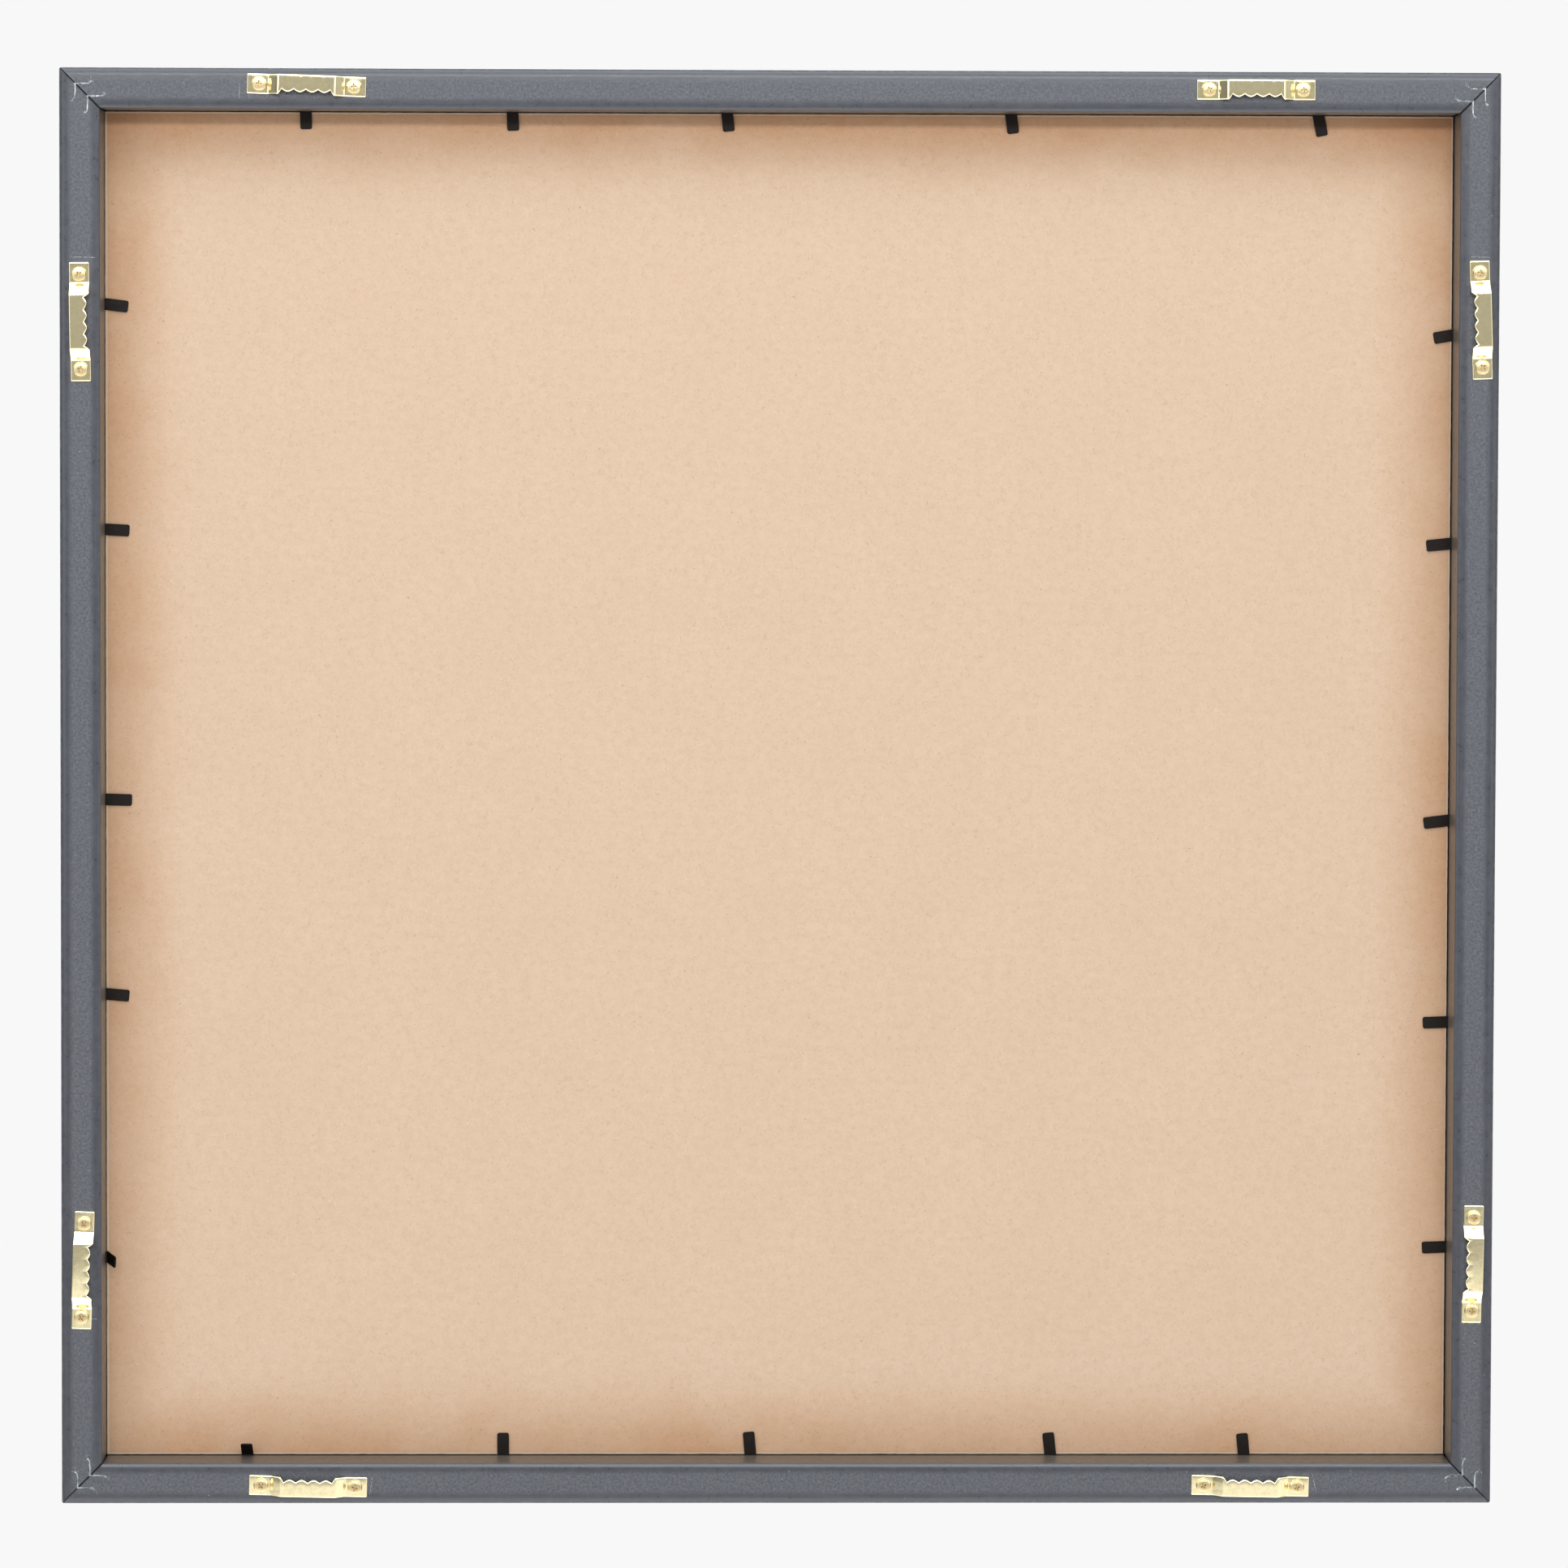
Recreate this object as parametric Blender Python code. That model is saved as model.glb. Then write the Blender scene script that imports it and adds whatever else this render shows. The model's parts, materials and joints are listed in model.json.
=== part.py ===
"""A square float-mount picture frame, 534 mm outside and 35 mm deep, as an assembly of separate pieces.

The origin is the centre of the whole box. The glazing faces -Y, the hangers face +Y and +Z is up.
Left and right are as seen from the front, so left is -X.

Most pieces are modelled in the space of one side of the frame: local X runs along the rail,
clockwise as seen from the front, local Y runs inwards from the rail's outer face, and local Z
points to the back, as the world's Y does. Each object's matrix places that space in the frame.
"""

import math

import bmesh
import bpy
from mathutils import Matrix, Vector

# Driving dimensions, in metres.
GAP = 0.0003  # kept between pieces that touch on the real frame
OUTER = 0.534  # outside of the square
DEPTH = 0.035  # front face to back face of a rail
WALL = 0.015  # thickness of a rail behind the rabbet
LIP_REACH = 0.005  # how far the front lip stands over the glazing
LIP_DEPTH = 0.003
REAR_OUTER_ROUND = 0.0016
REAR_INNER_ROUND = 0.0010
FRONT_ROUND = 0.0008
ROUND_STEPS = 3

# The stack in the rabbet, from the front.
GLAZING_SIZE, GLAZING_THICK = 0.503, 0.002
SPACER_WIDTH, SPACER_THICK = 0.0042, 0.006
BOARD_SIZE, BOARD_THICK = 0.503, 0.0016
PANEL_SIZE, PANEL_THICK = 0.5022, 0.003
PANEL_SHIFT = 0.0003  # the panel sits a little to +X, the mount board a little to -X
BOARD_SHIFT = -0.0002
SHEET_SIZE, SHEET_THICK = 0.400, 0.0005
RISER_SIZE, RISER_THICK = 0.360, 0.003

# Sawtooth hangers.
HANGER_LENGTH, HANGER_WIDTH = 0.044, 0.0074
HANGER_THICK = 0.0008
BRIDGE_RISE = 0.0026  # step from the pads up to the toothed bridge
PAD_LENGTH, SLOPE_LENGTH = 0.0074, 0.0042
CORNER_CUT = 0.0004
NOTCHES, NOTCH_PITCH = 5, 0.0045
NOTCH_EDGE, TOOTH_EDGE = 0.0056, 0.0065  # from the plain edge to a notch's root and a tooth's tip
NOTCH_FLAT, TOOTH_FLAT = 0.0005, 0.0008
TOOTH_CLEAR, EDGE_CLEAR = 0.0010, 0.0006  # from the bridge's bend to the last tooth and to the full width
SCREW_INSET = 0.0045  # from a hanger's end to its screw

# Screws.
HEAD_RADIUS, HEAD_HEIGHT = 0.0028, 0.0015
SHANK_RADIUS, SHANK_LENGTH, POINT_LENGTH = 0.0012, 0.0095, 0.0025
SCREW_SIDES = 16
HOLE_RADIUS = SHANK_RADIUS + GAP

# V-nails.
NAIL_LEG, NAIL_THICK, NAIL_HEIGHT = 0.0070, 0.0005, 0.010
NAIL_INSETS = {"outer": 0.0057, "inner": 0.0103}  # apex to both outer faces
NAIL_SUNK = 0.0002

# Flexible points. The tongue turns about a line just off the rail's wall.
TAB_WIDTH, TAB_THICK = 0.0044, 0.0005
TAB_ROUND, TAB_ROUND_STEPS = 0.0011, 3
HINGE_OFF_WALL = 0.0006

# Worked out from the values above.
HALF = OUTER / 2
BRIDGE_TOP = GAP + BRIDGE_RISE + HANGER_THICK
FRONT = -(DEPTH + BRIDGE_TOP) / 2
REAR = FRONT + DEPTH
GLAZING_FRONT = FRONT + LIP_DEPTH + GAP
SPACER_FRONT = GLAZING_FRONT + GLAZING_THICK + GAP
BOARD_FRONT = SPACER_FRONT + SPACER_THICK
PANEL_FRONT = BOARD_FRONT + BOARD_THICK + GAP
PANEL_REAR = PANEL_FRONT + PANEL_THICK
MITRE_CUT = GAP / 2 * math.sqrt(2)
HINGE_DEPTH = PANEL_REAR + GAP + TAB_THICK / 2
HINGE_INSET = WALL + HINGE_OFF_WALL

BACKWARDS = Vector((0, 1, 0))
# Each side's direction along the rail and its direction inwards.
SIDES = {
    "top": (Vector((1, 0, 0)), Vector((0, 0, -1))),
    "right": (Vector((0, 0, -1)), Vector((-1, 0, 0))),
    "bottom": (Vector((-1, 0, 0)), Vector((0, 0, 1))),
    "left": (Vector((0, 0, 1)), Vector((1, 0, 0))),
}
# Each corner joins the far end of one rail to the near end of the next.
CORNERS = {
    "top_right": ("top", "right"),
    "bottom_right": ("right", "bottom"),
    "bottom_left": ("bottom", "left"),
    "top_left": ("left", "top"),
}
# Hanger name: side, place along it and distance in from its outer face in millimetres, skew in degrees.
HANGERS = {
    "top_left": ("top", -175.8, 6.7, 0.0),
    "top_right": ("top", 175.6, 6.4, -1.7),
    "right_upper": ("right", -173.1, 7.7, 0.9),
    "right_lower": ("right", 179.4, 8.2, -1.7),
    "bottom_right": ("bottom", -175.2, 6.7, -1.2),
    "bottom_left": ("bottom", 176.7, 6.7, -1.0),
    "left_lower": ("left", -176.9, 7.5, -1.0),
    "left_upper": ("left", 175.4, 7.0, 2.0),
}
# Flexible points along each side: place and reach from the wall in millimetres, lean in degrees.
TABS = {
    "top": [(-201, 8.0, -11), (-86, 7.4, -7), (20, 7.0, -6), (100, 7.0, -2), (177, 6.7, -1.5)],
    "right": [(-180, 8.9, 7), (-96, 9.2, 3), (5, 10.0, 1.5), (78, 8.9, 5), (177, 8.8, 8)],
    "bottom": [(-199, 8.8, 0), (-103, 8.5, -0.5), (-10, 8.9, -5), (103, 8.6, -6), (176, 8.3, -5)],
    "left": [(-173, 9.2, -2), (-88, 9.5, -2), (-12, 9.8, -7), (92, 9.5, -6), (170, 7.4, -10)],
}
# Points that stand off the back panel, in degrees.
LIFTED = {"tab_right_5": 64, "tab_bottom_1": 54}

MM = 0.001


def clear_scene():
    for obj in list(bpy.data.objects):
        bpy.data.objects.remove(obj)


def material(name, colour, roughness, metallic=0.0, transmission=0.0):
    """A plain finish for one kind of piece."""
    made = bpy.data.materials.new(name)
    made.use_nodes = True
    shader = made.node_tree.nodes["Principled BSDF"]
    shader.inputs["Base Color"].default_value = (*colour, 1)
    shader.inputs["Roughness"].default_value = roughness
    shader.inputs["Metallic"].default_value = metallic
    shader.inputs["Transmission Weight"].default_value = transmission
    made.diffuse_color = (*colour, 1)
    return made


def side_space(side):
    """The matrix that takes (along, inwards, backwards) on one side of the frame to world space."""
    along, inwards = SIDES[side]
    turn = Matrix((along, inwards, BACKWARDS)).transposed().to_4x4()
    return Matrix.Translation(-HALF * inwards) @ turn


def place(name, mesh, matrix, finish=None):
    """One named object of the assembly, or a cutter, which needs no finish."""
    obj = bpy.data.objects.new(name, mesh)
    if finish and not mesh.materials:
        mesh.materials.append(finish)
    bpy.context.scene.collection.objects.link(obj)
    obj.matrix_world = matrix
    return obj


def finish_mesh(name, bm):
    """Turns a bmesh into a mesh with outward normals and crisp edges between smooth stretches."""
    bmesh.ops.recalc_face_normals(bm, faces=bm.faces)
    mesh = bpy.data.meshes.new(name)
    bm.to_mesh(mesh)
    bm.free()
    mesh.shade_smooth()
    mesh.set_sharp_from_angle(angle=math.radians(35))
    return mesh


def skin(bm, rings):
    """Joins rings of the same number of points with faces, and caps both ends."""
    made = [[bm.verts.new(point) for point in ring] for ring in rings]
    for low, high in zip(made, made[1:], strict=False):
        for i in range(len(low)):
            j = (i + 1) % len(low)
            bm.faces.new((low[i], low[j], high[j], high[i]))
    bm.faces.new(made[0])
    bm.faces.new(made[-1])


def prism(bm, outline, low, high):
    """An outline in local X and Y, extruded along local Z."""
    skin(bm, [[(x, y, z) for x, y in outline] for z in (low, high)])


def rounded(corners, steps):
    """The outline through (x, y, radius) corners, each rounded by an arc of that radius."""
    outline = []
    for i, (x, y, radius) in enumerate(corners):
        here = Vector((x, y))
        if radius == 0:
            outline.append(here)
            continue
        back = (Vector(corners[i - 1][:2]) - here).normalized()
        ahead = (Vector(corners[(i + 1) % len(corners)][:2]) - here).normalized()
        half_angle = back.angle(ahead) / 2
        centre = here + (back + ahead).normalized() * (radius / math.sin(half_angle))
        start = here + back * (radius / math.tan(half_angle)) - centre
        sweep = (math.pi - 2 * half_angle) * math.copysign(1, back.cross(ahead))
        for k in range(steps + 1):
            turn = Matrix.Rotation(-sweep * k / steps, 2)
            outline.append(centre + turn @ start)
    return outline


def circle(x, y, radius, sides):
    return [
        (x + radius * math.cos(math.tau * k / sides), y + radius * math.sin(math.tau * k / sides))
        for k in range(sides)
    ]


def turned(profile, sides):
    """A closed solid turned about local Z from (radius, height) points, whose first and last are on the axis."""
    bm = bmesh.new()
    rings = [
        [bm.verts.new((x, y, height)) for x, y in circle(0, 0, radius, sides)]
        for radius, height in profile[1:-1]
    ]
    for low, high in zip(rings, rings[1:], strict=False):
        for i in range(sides):
            j = (i + 1) % sides
            bm.faces.new((low[i], low[j], high[j], high[i]))
    for end, ring in ((profile[0], rings[0]), (profile[-1], rings[-1])):
        tip = bm.verts.new((0, 0, end[1]))
        for i in range(sides):
            bm.faces.new((tip, ring[i], ring[(i + 1) % sides]))
    return bm


def ribbon(stations, thickness):
    """A sheet-metal strip. A station is (along, low edge, high edge, height, slope) of its middle surface,
    where low and high are (along, across) offsets of the sheet's two edges."""
    bm = bmesh.new()
    rings = []
    for along, low, high, height, slope in stations:
        rise = Vector((-math.sin(slope), 0, math.cos(slope))) * thickness / 2
        edges = [Vector((along + shift, across, height)) for shift, across in (low, high)]
        rings.append([edges[0] - rise, edges[1] - rise, edges[1] + rise, edges[0] + rise])
    skin(bm, rings)
    return bm


def nail_outline(side_end, inset, grow):
    """The V of one nail on a corner, seen from the back, in the space of the corner's first side."""
    tip, inside = side_end - inset + grow, inset - grow
    leg, thick = NAIL_LEG + 2 * grow, NAIL_THICK + 2 * grow
    return [
        (tip, inside),
        (tip - leg, inside),
        (tip - leg, inside + thick),
        (tip - thick, inside + thick),
        (tip - thick, inside + leg),
        (tip, inside + leg),
    ]


def rail_mesh(name):
    """One mitred length of rabbeted moulding."""
    sight = WALL + LIP_REACH
    section = rounded(
        [
            (0, FRONT, FRONT_ROUND),
            (sight, FRONT, FRONT_ROUND),
            (sight, FRONT + LIP_DEPTH, 0),
            (WALL, FRONT + LIP_DEPTH, 0),
            (WALL, REAR, REAR_INNER_ROUND),
            (0, REAR, REAR_OUTER_ROUND),
        ],
        ROUND_STEPS,
    )
    bm = bmesh.new()
    rings = [
        [(end * (HALF - inset - MITRE_CUT), inset, depth) for inset, depth in section]
        for end in (-1, 1)
    ]
    skin(bm, rings)
    return finish_mesh(name, bm)


def rail_cutter(side):
    """The pilot holes and nail slots of one rail, in that side's space."""
    bm = bmesh.new()
    for hanger_side, along, inset, skew in HANGERS.values():
        if hanger_side == side:
            for x, y in screw_places(along * MM, inset * MM, math.radians(skew)):
                low = REAR - SHANK_LENGTH - POINT_LENGTH
                prism(bm, circle(x, y, HOLE_RADIUS, SCREW_SIDES), low, REAR + BRIDGE_TOP)
    for inset in NAIL_INSETS.values():
        outline = nail_outline(HALF, inset, GAP)
        low = REAR - NAIL_SUNK - NAIL_HEIGHT - GAP
        prism(bm, outline, low, REAR + BRIDGE_TOP)
        prism(bm, [(-x, y) for x, y in outline], low, REAR + BRIDGE_TOP)
    cutter = place("cutter_" + side, finish_mesh("cutter_" + side, bm), side_space(side))
    cutter.hide_render = True
    cutter.display_type = "WIRE"
    return cutter


def screw_places(along, inset, skew):
    """Where a hanger's two screws stand on its rail."""
    reach = HANGER_LENGTH / 2 - SCREW_INSET
    return [
        (along + end * reach * math.cos(skew), inset + end * reach * math.sin(skew))
        for end in (-1, 1)
    ]


def make_rails(finish):
    for side in SIDES:
        rail = place("rail_" + side, rail_mesh("rail_" + side), side_space(side), finish)
        cut = rail.modifiers.new("holes_and_slots", "BOOLEAN")
        cut.operation = "DIFFERENCE"
        cut.object = rail_cutter(side)


def make_v_nails(finish):
    for corner, (side, _) in CORNERS.items():
        for row, inset in NAIL_INSETS.items():
            name = f"v_nail_{corner}_{row}"
            bm = bmesh.new()
            top = REAR - NAIL_SUNK
            prism(bm, nail_outline(HALF, inset, 0), top - NAIL_HEIGHT, top)
            place(name, finish_mesh(name, bm), side_space(side), finish)


def hanger_stations():
    """Cuts across a hanger from its middle to both ends, with the toothed edge as its high edge."""
    middle, plain, full = HANGER_LENGTH / 2, -HANGER_WIDTH / 2, HANGER_WIDTH / 2
    bend = math.atan2(BRIDGE_RISE, SLOPE_LENGTH) / 2
    bridge = middle - PAD_LENGTH - SLOPE_LENGTH
    half = []
    for k in range(NOTCHES // 2 + 1):
        for flat, edge, centre in (
            (NOTCH_FLAT, NOTCH_EDGE, k * NOTCH_PITCH),
            (TOOTH_FLAT, TOOTH_EDGE, (k + 0.5) * NOTCH_PITCH),
        ):
            if centre + flat / 2 < bridge - TOOTH_CLEAR:
                half += [(centre + side * flat / 2, edge - full, BRIDGE_RISE, 0) for side in (-1, 1)]
    half += [
        (bridge - EDGE_CLEAR, full, BRIDGE_RISE, 0),
        (bridge, full, BRIDGE_RISE, -bend),
        (bridge + SLOPE_LENGTH, full, 0, -bend),
        (middle - CORNER_CUT, full, 0, 0),
        (middle, full - CORNER_CUT, 0, 0),
    ]
    half = [row for row in half if row[0] > 0]
    mirrored = [(-x, edge, height, -slope) for x, edge, height, slope in reversed(half)]
    return [
        (x, (0, plain + (CORNER_CUT if abs(x) == middle else 0)), (0, edge), height, slope)
        for x, edge, height, slope in mirrored + half
    ]


def hanger_mesh():
    """A sawtooth hanger with its two screw holes, about the middle of its pads' mid-surface."""
    bm = ribbon(hanger_stations(), HANGER_THICK)
    plain = bpy.data.objects.new("hanger_blank", finish_mesh("hanger_blank", bm))
    holes = bmesh.new()
    for x, y in screw_places(0, 0, 0):
        prism(holes, circle(x, y, HOLE_RADIUS, SCREW_SIDES), -HANGER_THICK, HANGER_THICK)
    cutter = bpy.data.objects.new("hanger_holes", finish_mesh("hanger_holes", holes))
    for obj in (plain, cutter):
        bpy.context.scene.collection.objects.link(obj)
    cut = plain.modifiers.new("holes", "BOOLEAN")
    cut.operation = "DIFFERENCE"
    cut.object = cutter
    graph = bpy.context.evaluated_depsgraph_get()
    mesh = bpy.data.meshes.new_from_object(plain.evaluated_get(graph))
    mesh.name = "sawtooth_hanger"
    for obj in (plain, cutter):
        bpy.data.objects.remove(obj)
    return mesh


def screw_mesh():
    """A round-headed screw with its point down, about the middle of the head's underside."""
    profile = [
        (0, HEAD_HEIGHT),
        (HEAD_RADIUS * 0.60, HEAD_HEIGHT * 0.95),
        (HEAD_RADIUS * 0.90, HEAD_HEIGHT * 0.65),
        (HEAD_RADIUS, HEAD_HEIGHT * 0.25),
        (HEAD_RADIUS, 0),
        (SHANK_RADIUS, 0),
        (SHANK_RADIUS, -SHANK_LENGTH),
        (0, -SHANK_LENGTH - POINT_LENGTH),
    ]
    return finish_mesh("round_head_screw", turned(profile, SCREW_SIDES))


def make_hangers(brass, screw_finish):
    blank, screw = hanger_mesh(), screw_mesh()
    underside = HANGER_THICK / 2 + GAP
    for name, (side, along, inset, skew) in HANGERS.items():
        seat = (along * MM, inset * MM, REAR + GAP + HANGER_THICK / 2)
        matrix = side_space(side) @ Matrix.Translation(seat)
        matrix = matrix @ Matrix.Rotation(math.radians(skew), 4, "Z")
        hanger = place("hanger_" + name, blank, matrix, brass)
        for number, (x, y) in enumerate(screw_places(0, 0, 0), start=1):
            stud = place(f"screw_{name}_{number}", screw, Matrix(), screw_finish)
            stud.parent = hanger
            stud.matrix_local = Matrix.Translation((x, y, underside))


def tongue_mesh(name, length, lean):
    """A flexible point's tongue, from its bend line along local X out to its rounded tip."""
    half = TAB_WIDTH / 2
    stations = [(0, half)]
    for k in range(TAB_ROUND_STEPS + 1):
        turn = math.pi / 2 * k / TAB_ROUND_STEPS
        reach = length - TAB_ROUND * (1 - math.sin(turn))
        stations.append((reach, half - TAB_ROUND * (1 - math.cos(turn))))
    bm = bmesh.new()
    rings = []
    for reach, width in stations:
        across = Vector((math.cos(lean), -math.sin(lean))) if reach else Vector((1 / math.cos(lean), 0))
        middle = Vector((math.sin(lean), math.cos(lean))) * reach
        low, high = middle - across * width, middle + across * width
        ring = [(low, -1), (high, -1), (high, 1), (low, 1)]
        rings.append([(*point, level * TAB_THICK / 2) for point, level in ring])
    skin(bm, rings)
    return finish_mesh(name, bm)


def make_tabs(finish):
    for side, tabs in TABS.items():
        for number, (along, reach, lean) in enumerate(tabs, start=1):
            name = f"tab_{side}_{number}"
            hinge = Matrix.Translation((along * MM, HINGE_INSET, HINGE_DEPTH))
            lift = Matrix.Rotation(math.radians(LIFTED.get(name, 0)), 4, "X")
            mesh = tongue_mesh(name, reach * MM - HINGE_OFF_WALL, math.radians(lean))
            place(name, mesh, side_space(side) @ hinge @ lift, finish)


def plate(size, front, rear):
    """A square plate across the frame, centred on the Y axis."""
    bm = bmesh.new()
    bmesh.ops.create_cube(bm, size=1)
    middle = Matrix.Translation((0, (front + rear) / 2, 0))
    bm.transform(middle @ Matrix.Diagonal((size, rear - front, size, 1)))
    return bm


def facing(bm, direction):
    bm.normal_update()
    return [face for face in bm.faces if face.normal.dot(direction) > 0.99]


def push(bm, faces, offset):
    """Extrudes these faces by an offset."""
    made = bmesh.ops.extrude_face_region(bm, geom=faces)["geom"]
    verts = [item for item in made if isinstance(item, bmesh.types.BMVert)]
    bmesh.ops.translate(bm, verts=verts, vec=offset)
    bmesh.ops.delete(bm, geom=faces, context="FACES_ONLY")


def make_stack(finishes):
    """Glazing, spacers on the mount board, the float-mounted sheet on its riser, and the back panel."""
    glazing = plate(GLAZING_SIZE, GLAZING_FRONT, GLAZING_FRONT + GLAZING_THICK)
    place("glazing", finish_mesh("glazing", glazing), Matrix(), finishes["glass"])

    board = plate(BOARD_SIZE, BOARD_FRONT, BOARD_FRONT + BOARD_THICK)
    front = facing(board, -BACKWARDS)
    ring = bmesh.ops.inset_region(board, faces=front, thickness=SPACER_WIDTH)["faces"]
    push(board, ring, -SPACER_THICK * BACKWARDS)
    place("mount_board", finish_mesh("mount_board", board), shift_x(BOARD_SHIFT), finishes["card"])

    riser_rear = BOARD_FRONT - GAP
    sheet_rear = riser_rear - RISER_THICK
    sheet = plate(SHEET_SIZE, sheet_rear - SHEET_THICK, sheet_rear)
    rear = facing(sheet, BACKWARDS)
    bmesh.ops.inset_region(sheet, faces=rear, thickness=(SHEET_SIZE - RISER_SIZE) / 2)
    push(sheet, rear, RISER_THICK * BACKWARDS)
    place("floated_sheet", finish_mesh("floated_sheet", sheet), Matrix(), finishes["paper"])

    panel = plate(PANEL_SIZE, PANEL_FRONT, PANEL_REAR)
    place("back_panel", finish_mesh("back_panel", panel), shift_x(PANEL_SHIFT), finishes["mdf"])


def shift_x(distance):
    return Matrix.Translation((distance, 0, 0))


def build():
    clear_scene()
    make_rails(material("blue_grey_paint", (0.20, 0.21, 0.24), 0.35))
    make_v_nails(material("nail_steel", (0.45, 0.44, 0.42), 0.4, metallic=1.0))
    brass = material("hanger_brass", (0.80, 0.68, 0.35), 0.25, metallic=1.0)
    pale_brass = material("screw_brass", (0.82, 0.70, 0.45), 0.25, metallic=1.0)
    make_hangers(brass, pale_brass)
    make_tabs(material("blackened_steel", (0.015, 0.013, 0.012), 0.5, metallic=0.3))
    finishes = {
        "glass": material("clear_glazing", (0.95, 0.97, 0.97), 0.02, transmission=1.0),
        "card": material("mount_card", (0.80, 0.79, 0.76), 0.8),
        "paper": material("cotton_paper", (0.88, 0.87, 0.84), 0.85),
        "mdf": material("bare_mdf", (0.74, 0.58, 0.43), 0.75),
    }
    make_stack(finishes)


build()
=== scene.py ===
import json
import math
import random

import bmesh
import bpy
from mathutils import Matrix, Vector, noise


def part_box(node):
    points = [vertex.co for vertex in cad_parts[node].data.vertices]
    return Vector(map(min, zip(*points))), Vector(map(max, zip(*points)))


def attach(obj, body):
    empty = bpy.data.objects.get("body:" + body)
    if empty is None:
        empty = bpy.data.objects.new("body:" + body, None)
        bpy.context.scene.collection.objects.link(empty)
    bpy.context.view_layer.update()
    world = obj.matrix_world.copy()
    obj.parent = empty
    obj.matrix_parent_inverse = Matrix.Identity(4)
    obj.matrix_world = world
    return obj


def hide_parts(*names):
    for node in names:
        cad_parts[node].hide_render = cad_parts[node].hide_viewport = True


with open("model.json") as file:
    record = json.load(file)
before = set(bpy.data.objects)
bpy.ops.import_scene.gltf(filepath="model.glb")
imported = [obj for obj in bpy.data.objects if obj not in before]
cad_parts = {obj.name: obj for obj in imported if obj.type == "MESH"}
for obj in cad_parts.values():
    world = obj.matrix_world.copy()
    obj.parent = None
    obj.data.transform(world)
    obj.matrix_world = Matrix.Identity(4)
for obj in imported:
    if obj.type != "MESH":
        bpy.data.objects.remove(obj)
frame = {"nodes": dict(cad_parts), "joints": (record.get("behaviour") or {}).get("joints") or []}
for startup in ("Cube", "Light", "Camera"):
    if startup in bpy.data.objects:
        bpy.data.objects.remove(bpy.data.objects[startup])
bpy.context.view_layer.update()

MM = 0.001
BACKWARDS = Vector((0, 1, 0))
SIDES = {
    "top": (Vector((1, 0, 0)), Vector((0, 0, -1))),
    "right": (Vector((0, 0, -1)), Vector((-1, 0, 0))),
    "bottom": (Vector((-1, 0, 0)), Vector((0, 0, 1))),
    "left": (Vector((0, 0, 1)), Vector((1, 0, 0))),
}
CORNERS = {
    "top_right": ("top", "right"),
    "bottom_right": ("right", "bottom"),
    "bottom_left": ("bottom", "left"),
    "top_left": ("left", "top"),
}

# The frame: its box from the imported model, its wall and lip as the CAD model has them.
RAIL_LOW, RAIL_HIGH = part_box("rail_top")
HALF, FRONT, REAR = RAIL_HIGH.z, RAIL_LOW.y, RAIL_HIGH.y
SIGHT = RAIL_HIGH.z - RAIL_LOW.z
WALL = 15 * MM
LIP_DEPTH = 3 * MM
MITRE_GAP = 0.40 * MM
PANEL_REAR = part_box("back_panel")[1].y
# The visible panel is a little larger than the CAD one, and lies a little to one side.
PANEL_HALF = HALF - WALL - 0.27 * MM
PANEL_SHIFT = 0.16 * MM


def side_space(side):
    """Takes (along, inwards, backwards) on one side of the frame to world space."""
    along, inwards = SIDES[side]
    turn = Matrix((along, inwards, BACKWARDS)).transposed().to_4x4()
    return Matrix.Translation(-HALF * inwards) @ turn


# ---------------------------------------------------------------- materials


class Nodes:
    """Adds shader nodes to a tree."""

    def __init__(self, tree):
        self.tree = tree

    def add(self, kind, inputs=(), **settings):
        node = self.tree.nodes.new("ShaderNode" + kind)
        for key, value in settings.items():
            setattr(node, key, value)
        for key, value in dict(inputs).items():
            if isinstance(value, bpy.types.NodeSocket):
                self.tree.links.new(value, node.inputs[key])
            else:
                node.inputs[key].default_value = (*value, 1) if isinstance(value, tuple) else value
        return node

    def math(self, operation, first, second=0.0):
        return self.add("Math", {0: first, 1: second}, operation=operation).outputs[0]

    def ramp(self, value, low, high, start=0.0, end=1.0):
        """value from low to high, smoothly turned into start to end."""
        inputs = {"Value": value, "From Min": low, "From Max": high, "To Min": start, "To Max": end}
        return self.add("MapRange", inputs, interpolation_type="SMOOTHSTEP").outputs["Result"]

    def blend(self, amount, first, second, mode="MIX"):
        colours = {0: amount, 6: first, 7: second}
        return self.add("Mix", colours, data_type="RGBA", blend_type=mode).outputs[2]


class Paint(Nodes):
    """A node material around one Principled shader."""

    def __init__(self, name, **settings):
        self.material = bpy.data.materials.new(name)
        self.material.use_nodes = True
        super().__init__(self.material.node_tree)
        self.shader = self.tree.nodes["Principled BSDF"]
        for key, value in settings.items():
            self.set(key.replace("_", " "), value)

    def set(self, key, value):
        socket = self.shader.inputs[key]
        if isinstance(value, bpy.types.NodeSocket):
            self.tree.links.new(value, socket)
        else:
            socket.default_value = (*value, 1) if isinstance(value, tuple) else value

    def place(self):
        return self.add("TexCoord").outputs["Object"]

    def axes(self):
        return self.add("SeparateXYZ", {0: self.place()}).outputs

    def noise(self, scale, detail=3.0, rough=0.5, vector=None, distortion=0.0):
        inputs = {"Vector": vector or self.place(), "Scale": scale, "Detail": detail}
        inputs.update({"Roughness": rough, "Distortion": distortion})
        return self.add("TexNoise", inputs).outputs["Fac"]

    def stretch(self, factors):
        return self.add("Mapping", {"Vector": self.place(), "Scale": Vector(factors)}).outputs[0]

    def bump(self, height, distance, strength=1.0, under=None):
        inputs = {"Height": height, "Distance": distance, "Strength": strength}
        if under:
            inputs["Normal"] = under
        made = self.add("Bump", inputs).outputs[0]
        self.set("Normal", made)
        return made


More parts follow.
